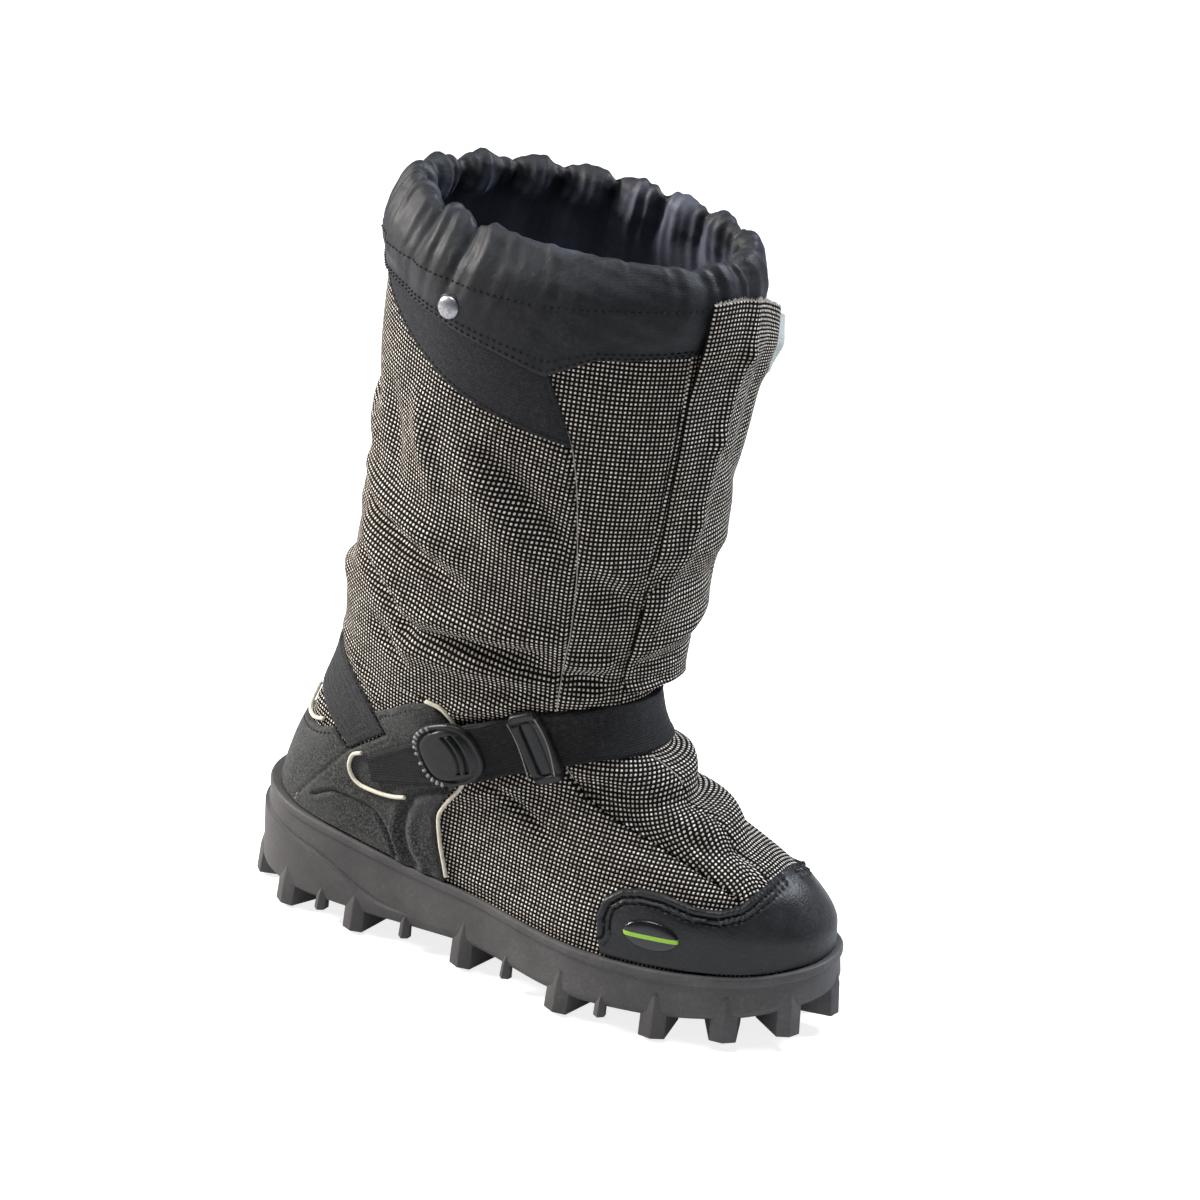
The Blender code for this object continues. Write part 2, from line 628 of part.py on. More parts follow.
def overlay(name, outline, finish, inner=GAP, outer=GAP + OVERLAY, sides=(-150.0, 150.0),
            first=1, last=12):
    """A piece cut between two larger forms of the upper, with a side-view outline."""
    piece = shell_solid(name, skin(inner, first, last), skin(outer, first, last), finish)
    cut(piece, side_cutter(f"{name}_outline", outline, *sides), "INTERSECT")
    return piece


def strap_lift(points):
    """The ankle strap rides over the counter and its piping, then lies on the instep."""
    return STRAP_LOW + (STRAP_HIGH - STRAP_LOW) * (1 - ease(points[..., 0], *STRAP_SETTLES))


def build_overlays(rubber, suede, plain, webbing, plastic, badge_finish):
    overlay("toe_cap", above_lip(226, 340) + list(reversed(TOE_CAP_EDGE[1:-1])), rubber, last=8)
    overlay("heel_counter", list(COUNTER_EDGE) + above_lip(131.5, -20), suede)
    under_hem = [(float(x), hem_height(x) - 0.8) for x in (181, 170, 157, 142, 127, 106, 85)]
    overlay("side_panel", list(PANEL_LOW_EDGE) + under_hem, plain, outer=GAP + PANEL,
            sides=(-150.0, 0.0), first=13, last=15)
    overlay("heel_strap", HEEL_STRAP_EDGE, webbing, outer=GAP + WEBBING, first=3)
    overlay("ankle_strap", ANKLE_STRAP_EDGE, webbing, inner=strap_lift,
            outer=lambda points: strap_lift(points) + WEBBING)

    def over_strap(rise):
        return lambda points: strap_lift(points) + WEBBING + GAP + rise

    overlay("pull_tab", turned_ellipse(PULL_TAB, STRAP_DIRECTION, 20, 2.6), plastic,
            inner=over_strap(0.0), outer=over_strap(PLASTIC), sides=(-150.0, 0.0))
    buckle = overlay("buckle", turned_ellipse(BUCKLE, STRAP_DIRECTION, 16, 5.0), plastic,
                     inner=over_strap(0.0), outer=over_strap(PLASTIC), sides=(-150.0, 0.0))
    window = side_cutter("buckle_window", turned_ellipse(BUCKLE_WINDOW, STRAP_DIRECTION, 8, 6.0))
    cut(buckle, window, "DIFFERENCE")
    over_cap = GAP + OVERLAY + GAP
    overlay("toe_badge", turned_ellipse(BADGE, BADGE_TILT, 20), badge_finish,
            inner=over_cap, outer=over_cap + 1.6, sides=(-150.0, 0.0), last=8)


def piping(name, route, side, grow, finish):
    """A round cord along side-view points on the upper's form."""
    marks = np.array(route, float)
    run = np.concatenate([[0], np.cumsum(np.linalg.norm(np.diff(marks, axis=0), axis=1))])
    count = max(6, int(run[-1] / PIPING_STEP))
    stops = np.linspace(0, run[-1], count)
    x, z = (curve_through(run, marks[:, axis], stops) for axis in range(2))
    spline_curve = bpy.data.curves.new(name, "CURVE")
    spline_curve.dimensions = "3D"
    spline_curve.bevel_depth = PIPING_RADIUS * MM
    spline_curve.bevel_resolution = 1
    spline_curve.use_fill_caps = True
    spline = spline_curve.splines.new("POLY")
    spline.points.add(count - 1)
    for point, px, pz in zip(spline.points, x, z):
        point.co = (*in_metres(form_point(px, pz, side, grow)), 1.0)
    made = bpy.data.objects.new(name, spline_curve)
    bpy.context.scene.collection.objects.link(made)
    spline_curve.materials.append(finish)


def build_pipings(finish):
    on_upper = 0.7 + PIPING_RADIUS
    on_counter = 0.7 + GAP + OVERLAY + PIPING_RADIUS
    for side, word in ((LATERAL, "lateral"), (MEDIAL, "medial")):
        piping(f"piping_heel_{word}", HEEL_PIPING, side, on_upper, finish)
        piping(f"piping_slot_{word}", SLOT_PIPING, side, on_counter, finish)
        piping(f"piping_counter_{word}", COUNTER_PIPING, side, on_upper, finish)


def hem_height(x):
    """The collar's hem: down from the back to a point on each side, then up to the front."""
    hem = table(HEM_COLUMNS, COLLAR_HEM)
    return float(np.interp(x, hem["x"], hem["z"]))


def above_shaft(x):
    """The underside of the rim, just above the shaft's sloping top."""
    top = section_at(1.0)
    share = (x - top["back_x"]) / (top["front_x"] - top["back_x"])
    return top["back_z"] + (top["front_z"] - top["back_z"]) * share + COLLAR_GAP


def collar_loop(row, count):
    section = dict(zip(COLLAR_COLUMNS, row))
    whole = {"round_back": .50, "round_front": .50, "swing": 2}
    for part in ("heel", "waist", "ball"):
        for side in ("out", "in"):
            whole[f"{part}_{side}"] = section[f"half_{side}"] * (1.0 if part == "waist" else 0.97)
    for name in ("back_x", "back_z", "front_x", "front_z"):
        whole[name] = section[name]
    loop = section_loop(whole, count)
    turn = 2 * math.pi * np.arange(count) / count
    wave = sum(share * np.sin(waves * turn + phase) for waves, share, phase in GATHERS)
    return loop + loop_normals(loop) * (wave * section["gather"])[:, None]


def build_collar(finish):
    """The gathered nylon collar: a leg over the shaft's top, then a rolled rim."""
    count = UPPER_COUNT
    outer_leg = COLLAR_GAP + COLLAR_LEG
    loops = [form_ring(hem_height, COLLAR_GAP, count), form_ring(hem_height, outer_leg, count)]
    loops += [collar_loop(row, count) for row in COLLAR_SECTIONS]
    loops += [form_ring(above_shaft, -WALL, count), form_ring(above_shaft, COLLAR_GAP, count)]
    ring_solid("collar", loops, finish)


def flap_grids(z_rows, thickness, start=0.0, end=1.0, columns=FLAP_COLUMNS_COUNT, lift=0.0):
    rows = table(FLAP_COLUMNS, FLAP_ROWS)
    inner, outer = [], []
    top = FLAP_ROWS[-1][0]
    for z in z_rows:
        root, edge, root_off, edge_off = (float(curve_through(rows["z"], rows[name], z))
                                          for name in FLAP_COLUMNS[1:])
        for grid, extra in ((inner, 0.0), (outer, thickness)):
            line = []
            for u in np.linspace(start, end, columns):
                turn = max(0.0, u - FLAP_CORNER_START) / (1 - FLAP_CORNER_START)
                level = z - FLAP_CORNER * turn ** 3 * ease(z, top - FLAP_CORNER_HEIGHT, top)
                off = root_off + (edge_off - root_off) * u ** 1.3 + lift + extra
                line.append(form_at(root + (edge - root) * u, level, off))
            grid.append(line)
    return np.array(inner), np.array(outer)


def build_flap(fabric, fastening):
    sheet_solid("gusset_flap", *flap_grids(FLAP_STOPS, FLAP_WALL), fabric)
    back = -(PATCH_THICKNESS + 2 * GAP)
    strip = flap_grids(PATCH_ROWS, PATCH_THICKNESS, *PATCH_SPAN, 5, back)
    sheet_solid("flap_fastening", *strip, fastening)


def build_snap(finish):
    x, z, radius, rise = SNAP
    base = form_point(x, z, LATERAL, 0.0)
    sections = [collar_loop(row, 208) for row in COLLAR_SECTIONS[:2]]
    low, high = (loop[((loop[:105, 0] - x) ** 2).argmin()] for loop in sections)
    seat = min(low[1], high[1], base[1] - COLLAR_GAP - COLLAR_LEG) - 2 * GAP
    points = [(x + r * radius * math.cos(a), seat - out * rise, z + r * radius * math.sin(a))
              for r, out in SNAP_DOME for a in np.linspace(0, 2 * math.pi, 12, endpoint=False)]
    hull_solid("snap_cap", points, finish)


def build_back_tab(finish):
    """A small hanging tab on the back of the collar, following its slope."""
    low, high, width, thickness = BACK_TAB
    half, corner = width / 2, width / 4
    backs = np.array([collar_loop(row, UPPER_COUNT)[0] for row in COLLAR_SECTIONS[:2]])
    points = []
    for dy, z in ((-half, low + corner), (corner - half, low), (half - corner, low),
                  (half, low + corner), (half, high - corner), (half - corner, high),
                  (corner - half, high), (-half, high - corner)):
        lean = backs[0, 0] + (backs[1, 0] - backs[0, 0]) * (z - backs[0, 2]) / np.ptp(backs[:, 2])
        points += [(lean - 2 * GAP - dx, dy + backs[0, 1], z) for dx in (0.0, thickness)]
    hull_solid("back_tab", points, finish)


def build_overshoe():
    dotted = material("dotted_fabric", (0.10, 0.095, 0.085), 0.85)
    sole_rubber = material("sole_rubber", (0.035, 0.035, 0.036), 0.55)
    cap_rubber = material("cap_rubber", (0.03, 0.03, 0.032), 0.45)
    suede = material("counter_suede", (0.04, 0.04, 0.042), 0.9)
    nylon = material("collar_nylon", (0.02, 0.022, 0.03), 0.5)
    plain = material("plain_fabric", (0.02, 0.02, 0.022), 0.85)
    webbing = material("webbing", (0.02, 0.02, 0.022), 0.7)
    plastic = material("black_plastic", (0.02, 0.02, 0.02), 0.35)
    cream = material("cream_piping", (0.62, 0.58, 0.46), 0.6)
    steel = material("stud_steel", (0.6, 0.6, 0.6), 0.3, 1.0)
    pearl = material("snap_metal", (0.55, 0.56, 0.58), 0.3, 1.0)
    pale = material("fastening_tape", (0.5, 0.52, 0.48), 0.9)
    foam = material("insole_foam", (0.05, 0.05, 0.05), 0.9)
    badge_finish = material("badge_gloss", (0.01, 0.01, 0.01), 0.2)

    shell_solid("upper", skin(-WALL), skin(0.0), dotted)
    build_outsole(sole_rubber)
    build_studs(steel)
    build_insole(foam)
    build_overlays(cap_rubber, suede, plain, webbing, plastic, badge_finish)
    build_pipings(cream)
    build_collar(nylon)
    build_flap(dotted, pale)
    build_snap(pearl)
    build_back_tab(webbing)


build_overshoe()
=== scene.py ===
import math
import random

import bmesh
import bpy
import numpy as np
from mathutils import Matrix, Vector


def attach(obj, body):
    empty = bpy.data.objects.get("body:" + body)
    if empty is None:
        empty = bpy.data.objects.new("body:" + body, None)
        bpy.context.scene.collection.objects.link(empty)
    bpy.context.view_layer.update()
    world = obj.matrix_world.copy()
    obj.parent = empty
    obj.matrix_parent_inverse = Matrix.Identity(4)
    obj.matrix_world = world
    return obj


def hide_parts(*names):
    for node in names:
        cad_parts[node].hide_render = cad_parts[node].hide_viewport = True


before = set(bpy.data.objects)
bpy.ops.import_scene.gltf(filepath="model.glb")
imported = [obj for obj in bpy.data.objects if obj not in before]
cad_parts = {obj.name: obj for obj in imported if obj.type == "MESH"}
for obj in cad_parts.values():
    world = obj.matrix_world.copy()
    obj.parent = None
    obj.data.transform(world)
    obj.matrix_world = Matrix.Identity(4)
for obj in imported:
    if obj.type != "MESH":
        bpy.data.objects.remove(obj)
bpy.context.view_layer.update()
print("frame loaded:", len(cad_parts), "nodes")

# All places are in millimetres from the back of the heel: X to the toe, Y from the outer
# side to the inner side, Z up. toMetres() turns them into the frame's own metres.
shoe = {
    "origin": (162.0, -1.0, 0.0),
    "length": 324.0,
    "wall": 2.2,
    "overlay": 2.0,
    "webbing": 1.8,
    "squareness": 2.15,          # exponent of the round ends
    "columns": ("level", "back_x", "back_z", "front_x", "front_z", "heel_out", "waist_out",
                "ball_out", "heel_in", "waist_in", "ball_in", "round_back", "round_front", "swing"),
    "upper": (
        (0.00, 8, 57, 318, 43, 43, 42, 55, 41, 38, 54, .17, .36, 16),
        (0.08, 11, 70, 318, 56, 43, 43, 53, 41, 39, 53, .17, .38, 15),
        (0.16, 16, 86, 307, 74, 42, 43, 48, 40, 40, 47, .18, .42, 12),
        (0.24, 22, 100, 279, 92, 42, 44, 42, 40, 41, 41, .22, .46, 9),
        (0.32, 28, 115, 250, 108, 42, 46, 42, 40, 43, 40, .27, .48, 6),
        (0.40, 34, 130, 230, 125, 43, 49, 45, 41, 46, 42, .33, .48, 4),
        (0.48, 39, 147, 216, 145, 46, 52, 50, 44, 50, 47, .40, .50, 3),
        (0.54, 40, 162, 212, 163, 50, 56, 54, 50, 56, 53, .45, .50, 2),
        (0.60, 41, 180, 216, 182, 55, 60, 58, 55, 60, 58, .48, .50, 2),
        (0.66, 44, 200, 222, 200, 60, 63, 62, 60, 63, 62, .50, .50, 2),
        (0.76, 54, 245, 231, 245, 66, 69, 68, 66, 69, 68, .50, .50, 2),
        (1.00, 58, 366, 240, 355, 70, 74, 72, 70, 74, 72, .50, .50, 2),
        (1.07, 59, 386, 241, 382, 70, 74, 72, 70, 74, 72, .50, .50, 2),
    ),
    "firstFreeLevel": 0.06,      # below it the upper runs down to the sole's lip
    "lip": (0, 0, 0, 324, 0, 47, 45, 59, 46, 41, 60, .17, .36, 16),
    "base": (0, 0, 0, 324, 0, 48, 46, 61, 47, 41, 61, .17, .36, 16),
    "bed": (0, 11, 0, 312, 0, 42, 40, 53, 40, 36, 53, .17, .36, 16),
    "heightColumns": ("x", "bed", "lip", "step", "base", "tread"),
    "heights": (
        (0, 20, 60, 47, 13, 2), (50, 19, 54, 38, 11, 2), (100, 18, 47, 20, 12, 2),
        (150, 17, 42, 18, 14, 2), (200, 16, 38, 15, 11, 2), (250, 17, 37, 16, 12, 2),
        (290, 21, 39, 20, 16, 7), (324, 30, 45, 29, 24, 16),
    ),
    "formRows": 240,
    "formCount": 720,
}


def curveThrough(xs, ys, at):   # monotone cubic through the points
    xs, ys, at = np.asarray(xs, float), np.asarray(ys, float), np.asarray(at, float)
    step = np.diff(xs)
    rise = np.diff(ys) / step
    slope = np.empty(len(xs))
    slope[0], slope[-1] = rise[0], rise[-1]
    for i in range(1, len(xs) - 1):
        if rise[i - 1] * rise[i] <= 0:
            slope[i] = 0.0
            continue
        near, far = 2 * step[i] + step[i - 1], step[i] + 2 * step[i - 1]
        slope[i] = (near + far) / (near / rise[i - 1] + far / rise[i])
    i = np.clip(np.searchsorted(xs, at, side="right") - 1, 0, len(xs) - 2)
    t = np.clip((at - xs[i]) / step[i], 0, 1)
    return (ys[i] * (2 * t ** 3 - 3 * t ** 2 + 1) + ys[i + 1] * (3 * t ** 2 - 2 * t ** 3)
            + step[i] * (slope[i] * (t ** 3 - 2 * t ** 2 + t) + slope[i + 1] * (t ** 3 - t ** 2)))


def ease(value, low, high):
    t = np.clip((value - low) / (high - low), 0, 1)
    return t * t * (3 - 2 * t)


def bump(value, middle, width):
    return np.exp(-((value - middle) / width) ** 2)


def columnsOf(names, rows):
    return dict(zip(names, np.array(rows, float).T))


soleHeights = columnsOf(shoe["heightColumns"], shoe["heights"])
upperRows = columnsOf(shoe["columns"], shoe["upper"])


def soleHeight(name, x):
    return curveThrough(soleHeights["x"], soleHeights[name], x)


def sectionAt(level):
    return {name: float(curveThrough(upperRows["level"], upperRows[name], level))
            for name in shoe["columns"]}


def sectionLoop(section, count):   # heel's back, lateral side, toe, medial side
    power = shoe["squareness"]
    u = 0.5 - 0.5 * np.cos(np.linspace(0, math.pi, 600))
    shares = (-0.2, 0.17, 0.42, 0.70, 1.2)
    back = (1 - (1 - np.clip(u / section["round_back"], 0, 1)) ** power) ** (1 / power)
    front = (1 - (1 - np.clip((1 - u) / section["round_front"], 0, 1)) ** power) ** (1 / power)
    swing = section["swing"] * ease(u, 0.35, 1.0)
    x = section["back_x"] + (section["front_x"] - section["back_x"]) * u
    z = section["back_z"] + (section["front_z"] - section["back_z"]) * u
    paths = []
    for side, end in ((-1, "out"), (1, "in")):
        heel, waist, ball = (section[f"{part}_{end}"] for part in ("heel", "waist", "ball"))
        width = curveThrough(shares, (heel, heel, waist, ball, ball), u)
        paths.append(np.stack([x, side * width * back * front + swing, z], axis=-1))
    steps = sum(np.linalg.norm(np.diff(path, axis=0), axis=1) for path in paths) / 2
    run = np.concatenate([[0], np.cumsum(steps)])
    stops = np.linspace(0, run[-1], count // 2 + 1)
    lateral, medial = (np.stack([np.interp(stops, run, path[:, axis]) for axis in range(3)], -1)
                       for path in paths)
    return np.vstack([lateral, medial[-2:0:-1]])


def planNormals(loop):
    along = np.roll(loop, -1, axis=0) - np.roll(loop, 1, axis=0)
    out = np.stack([along[:, 1], -along[:, 0], np.zeros(len(loop))], axis=-1)
    out /= np.linalg.norm(out, axis=1, keepdims=True)
    return out if ((loop - loop.mean(axis=0)) * out).sum() > 0 else -out


def withHeight(loop, heights):
    raised = loop.copy()
    raised[:, 2] = heights
    return raised


def formLoop(level, count):
    lip = sectionLoop(sectionAt(0.0), count)
    lip[:, 2] = soleHeight("lip", lip[:, 0]) + min(level, 0) * 100
    first = shoe["firstFreeLevel"]
    if level >= first:
        return sectionLoop(sectionAt(level), count)
    mix = max(level, 0) / first
    return lip * (1 - mix) + sectionLoop(sectionAt(first), count) * mix


formLevels = np.linspace(-0.05, 1.07, shoe["formRows"])
form = np.array([formLoop(level, shoe["formCount"]) for level in formLevels])


def gridNormals(grid):
    around = np.roll(grid, -1, axis=1) - np.roll(grid, 1, axis=1)
    out = np.cross(around, np.gradient(grid, axis=0))
    out /= np.linalg.norm(out, axis=2, keepdims=True)
    middle = grid.mean(axis=1, keepdims=True)
    return out if ((grid - middle) * out).sum() > 0 else -out


formOut = gridNormals(form)
print("form of the upper ready")


def onForm(level, share, grow=0.0):   # points and outward normals of the upper's form
    i = np.interp(level, formLevels, np.arange(len(formLevels)))
    j = np.mod(share, 1.0) * shoe["formCount"]
    i0 = np.clip(i.astype(int), 0, len(formLevels) - 2)
    j0 = j.astype(int) % shoe["formCount"]
    j1 = (j0 + 1) % shoe["formCount"]
    fi, fj = (i - i0)[..., None], (j - np.floor(j))[..., None]

    def blended(grid):
        return ((grid[i0, j0] * (1 - fj) + grid[i0, j1] * fj) * (1 - fi)
                + (grid[i0 + 1, j0] * (1 - fj) + grid[i0 + 1, j1] * fj) * fi)
    out = blended(formOut)
    out /= np.linalg.norm(out, axis=-1, keepdims=True)
    return blended(form) + out * np.asarray(grow)[..., None], out


def levelAtHeight(share, z):
    share, z = np.broadcast_arrays(np.asarray(share, float), np.asarray(z, float))
    column = np.round(np.mod(share, 1.0) * shoe["formCount"]).astype(int) % shoe["formCount"]
    levels = np.empty(share.shape)
    for k in np.unique(column):
        here = column == k
        levels[here] = np.interp(z[here], form[:, k, 2], formLevels)
    return levels


def locate(x, z, side):   # level and share of the form's point at x, z of the side view
    half = shoe["formCount"] // 2
    columns = np.arange(0, half + 1) if side < 0 else np.arange(half, 2 * half + 1) % (2 * half)
    part = form[4:, columns]
    away = (part[..., 0] - x) ** 2 + (part[..., 2] - z) ** 2
    i, j = np.unravel_index(away.argmin(), away.shape)
    i = int(np.clip(i, 1, part.shape[0] - 2))
    j = int(np.clip(j, 1, part.shape[1] - 2))
    down, across = (part[i + 1, j] - part[i - 1, j]) / 2, (part[i, j + 1] - part[i, j - 1]) / 2
    solve = np.array([[down[0], across[0]], [down[2], across[2]]])
    if abs(np.linalg.det(solve)) > 0.05:
        move = np.linalg.solve(solve, (x - part[i, j, 0], z - part[i, j, 2]))
        move = np.clip(move, -1.5, 1.5)
    else:
        move = np.zeros(2)
    level = np.interp(i + 4 + move[0], np.arange(len(formLevels)), formLevels)
    return level, (j + move[1] + (0 if side < 0 else half)) / shoe["formCount"]


def smoothLine(points, spacing):   # even points on a smooth curve through side-view marks
    marks = np.array(points, float)
    run = np.concatenate([[0], np.cumsum(np.linalg.norm(np.diff(marks, axis=0), axis=1))])
    stops = np.linspace(0, run[-1], max(3, int(run[-1] / spacing) + 1))
    return np.stack([curveThrough(run, marks[:, axis], stops)
                     for axis in range(marks.shape[1])], axis=-1)


def lineOnForm(marks, side, grow, spacing=1.5):
    places = np.array([locate(x, z, side) for x, z in smoothLine(marks, spacing)])
    for _ in range(2):
        places[1:-1] = (places[:-2] + 2 * places[1:-1] + places[2:]) / 4
    return onForm(places[:, 0], places[:, 1], np.full(len(places), grow))


def toMetres(points):
    return (np.asarray(points, float) - shoe["origin"]) * 0.001


# Materials

def addNode(tree, kind, **values):
    node = tree.nodes.new(kind)
    for name, value in values.items():
        setattr(node, name, value)
    return node


def wire(tree, start, end):
    tree.links.new(start, end)


def setInput(tree, socket, value):   # value is a number, a colour or another node's output
    if isinstance(value, (int, float)):
        socket.default_value = value
    elif isinstance(value, (tuple, list)):
        socket.default_value = (*value[:3], 1.0)
    else:
        wire(tree, value, socket)


def mathNode(tree, operation, *values):
    node = addNode(tree, "ShaderNodeMath", operation=operation)
    for socket, value in zip(node.inputs, values):
        setInput(tree, socket, value)
    return node.outputs[0]


def noiseNode(tree, vector, scale, detail=2.0, roughness=0.5):
    node = addNode(tree, "ShaderNodeTexNoise")
    for name, value in (("Vector", vector), ("Scale", scale), ("Detail", detail),
                        ("Roughness", roughness)):
        setInput(tree, node.inputs[name], value)
    return node.outputs["Fac"]


def rangeNode(tree, value, low, high, toLow=0.0, toHigh=1.0):
    node = addNode(tree, "ShaderNodeMapRange", interpolation_type="SMOOTHSTEP")
    for name, given in (("Value", value), ("From Min", low), ("From Max", high), ("To Min", toLow),
                        ("To Max", toHigh)):
        setInput(tree, node.inputs[name], given)
    return node.outputs["Result"]


def mixColour(tree, mask, first, second):
    node = addNode(tree, "ShaderNodeMix", data_type="RGBA", blend_type="MIX")
    for socket, value in (("Factor", mask), (6, first), (7, second)):   # 6 and 7 are the colours
        setInput(tree, node.inputs[socket], value)
    return node.outputs[2]


def newGroup(name, inputs, outputs):
    group = bpy.data.node_groups.new(name, "ShaderNodeTree")
    for label, kind, value in inputs:
        socket = group.interface.new_socket(name=label, in_out="INPUT", socket_type=kind)
        if value is not None:
            socket.default_value = value
    for label, kind in outputs:
        group.interface.new_socket(name=label, in_out="OUTPUT", socket_type=kind)
    return group, addNode(group, "NodeGroupInput").outputs, addNode(group, "NodeGroupOutput").inputs


def grainGroup():   # fine pebbled grain, for moulded rubber, plastic and suede
    group, given, wanted = newGroup("fine grain", (
        ("Vector", "NodeSocketVector", None), ("Scale", "NodeSocketFloat", 900.0)), (
        ("Height", "NodeSocketFloat"), ("Mottle", "NodeSocketFloat")))
    cells = addNode(group, "ShaderNodeTexVoronoi", feature="SMOOTH_F1")
    wire(group, given["Vector"], cells.inputs["Vector"])
    wire(group, given["Scale"], cells.inputs["Scale"])
    fine = noiseNode(group, given["Vector"], mathNode(group, "MULTIPLY", given["Scale"], 0.7), 3.0)
    wire(group, mathNode(group, "ADD", cells.outputs["Distance"], fine), wanted["Height"])
    wire(group, noiseNode(group, given["Vector"], 42.0, 4.0, 0.6), wanted["Mottle"])
    return group


def dustGroup():   # pale dust and scuffs that gather in patches
    group, given, wanted = newGroup("dust", (
        ("Vector", "NodeSocketVector", None), ("Amount", "NodeSocketFloat", 0.3)), (
        ("Mask", "NodeSocketFloat"),))
    broad = noiseNode(group, given["Vector"], 22.0, 3.0, 0.6)
    fine = noiseNode(group, given["Vector"], 420.0, 4.0, 0.7)
    patch = rangeNode(group, broad, 0.42, 0.75)
    speck = rangeNode(group, fine, 0.45, 0.78)
    both = mathNode(group, "MULTIPLY", mathNode(group, "ADD", patch, 0.25), speck)
    wire(group, mathNode(group, "MULTIPLY", both, given["Amount"]), wanted["Mask"])
    return group


def weaveGroup():   # plain weave of threads, from flat cloth coordinates in millimetres
    group, given, wanted = newGroup("plain weave", (
        ("Vector", "NodeSocketVector", None), ("Across", "NodeSocketFloat", 0.8),
        ("Along", "NodeSocketFloat", 0.8)), (
        ("Height", "NodeSocketFloat"), ("Thread", "NodeSocketFloat")))
    split = addNode(group, "ShaderNodeSeparateXYZ")
    wire(group, given["Vector"], split.inputs[0])
    turn = 2 * math.pi
    warp = mathNode(group, "SINE", mathNode(group, "MULTIPLY", mathNode(
        group, "DIVIDE", split.outputs[1], given["Across"]), turn))
    weft = mathNode(group, "SINE", mathNode(group, "MULTIPLY", mathNode(
        group, "DIVIDE", split.outputs[0], given["Along"]), turn))
    height = mathNode(group, "ADD", mathNode(group, "MULTIPLY", warp, 0.5),
                      mathNode(group, "MULTIPLY", mathNode(group, "MULTIPLY", warp, weft), 0.5))
    wire(group, height, wanted["Height"])
    wire(group, rangeNode(group, height, -0.9, 0.9), wanted["Thread"])
    return group


def dotsGroup():   # rows of pale knitted dots, from flat cloth coordinates in millimetres
    group, given, wanted = newGroup("knitted dots", (
        ("Vector", "NodeSocketVector", None), ("Pitch", "NodeSocketFloat", 2.4),
        ("Size", "NodeSocketFloat", 0.31)), (
        ("Dot", "NodeSocketFloat"), ("Height", "NodeSocketFloat"), ("Tone", "NodeSocketFloat")))
    split = addNode(group, "ShaderNodeSeparateXYZ")
    wire(group, given["Vector"], split.inputs[0])
    offsets, cells = [], []
    for axis in (0, 1):
        turns = mathNode(group, "DIVIDE", split.outputs[axis], given["Pitch"])
        cells.append(mathNode(group, "FLOOR", turns))
        within = mathNode(group, "FRACT", turns)
        away = mathNode(group, "ABSOLUTE", mathNode(group, "SUBTRACT", within, 0.5))
        offsets.append(mathNode(group, "POWER", away, 2.6))
    reach = mathNode(group, "POWER", mathNode(group, "ADD", *offsets), 1 / 2.6)
    soft = mathNode(group, "ADD", given["Size"], 0.05)
    hard = mathNode(group, "SUBTRACT", given["Size"], 0.05)
    dot = rangeNode(group, reach, hard, soft, 1.0, 0.0)
    corner = addNode(group, "ShaderNodeCombineXYZ")
    wire(group, cells[0], corner.inputs[0])
    wire(group, cells[1], corner.inputs[1])
    chance = addNode(group, "ShaderNodeTexWhiteNoise", noise_dimensions="2D")
    wire(group, corner.outputs[0], chance.inputs["Vector"])
    wire(group, dot, wanted["Dot"])
    dome = mathNode(group, "SUBTRACT", 1.0, mathNode(group, "MULTIPLY", reach, 2.0))
    wire(group, mathNode(group, "MULTIPLY", dot, dome), wanted["Height"])
    wire(group, chance.outputs["Value"], wanted["Tone"])
    return group


groups = {"grain": grainGroup(), "dust": dustGroup(), "weave": weaveGroup(), "dots": dotsGroup()}


def placeGroup(tree, name, vector, **values):
    node = addNode(tree, "ShaderNodeGroup", node_tree=groups[name])
    wire(tree, vector, node.inputs["Vector"])
    for label, value in values.items():
        node.inputs[label].default_value = value
    return node.outputs


def startMaterial(name, roughness, metallic=0.0, coat=0.0, coatRoughness=0.3, specular=0.5,
                  sheen=0.0, sheenRoughness=0.5, sheenTint=(1, 1, 1)):
    made = bpy.data.materials.new(name)
    made.use_nodes = True
    tree = made.node_tree
    shader = tree.nodes["Principled BSDF"]
    for label, value in (("Roughness", roughness), ("Metallic", metallic), ("Coat Weight", coat),
                         ("Coat Roughness", coatRoughness), ("Specular IOR Level", specular),
                         ("Sheen Weight", sheen), ("Sheen Roughness", sheenRoughness),
                         ("Sheen Tint", sheenTint)):
        setInput(tree, shader.inputs[label], value)
    place = addNode(tree, "ShaderNodeTexCoord").outputs["Object"]
    return made, tree, shader, place


def clothCoordinates(tree):
    return addNode(tree, "ShaderNodeUVMap", uv_map="cloth").outputs["UV"]


def addBump(tree, shader, height, distance, strength=1.0, under=None):
    node = addNode(tree, "ShaderNodeBump")
    for name, value in (("Height", height), ("Distance", distance), ("Strength", strength)):
        setInput(tree, node.inputs[name], value)
    if under is not None:
        wire(tree, under, node.inputs["Normal"])
    wire(tree, node.outputs["Normal"], shader.inputs["Normal"])
    return node.outputs["Normal"]


dustColours = {"dotted": (0.10, 0.085, 0.075), "rubber": (0.20, 0.19, 0.18), "suede": (0.16, 0.16, 0.155),
               "nylon": (0.12, 0.12, 0.13), "cloth": (0.14, 0.14, 0.14)}


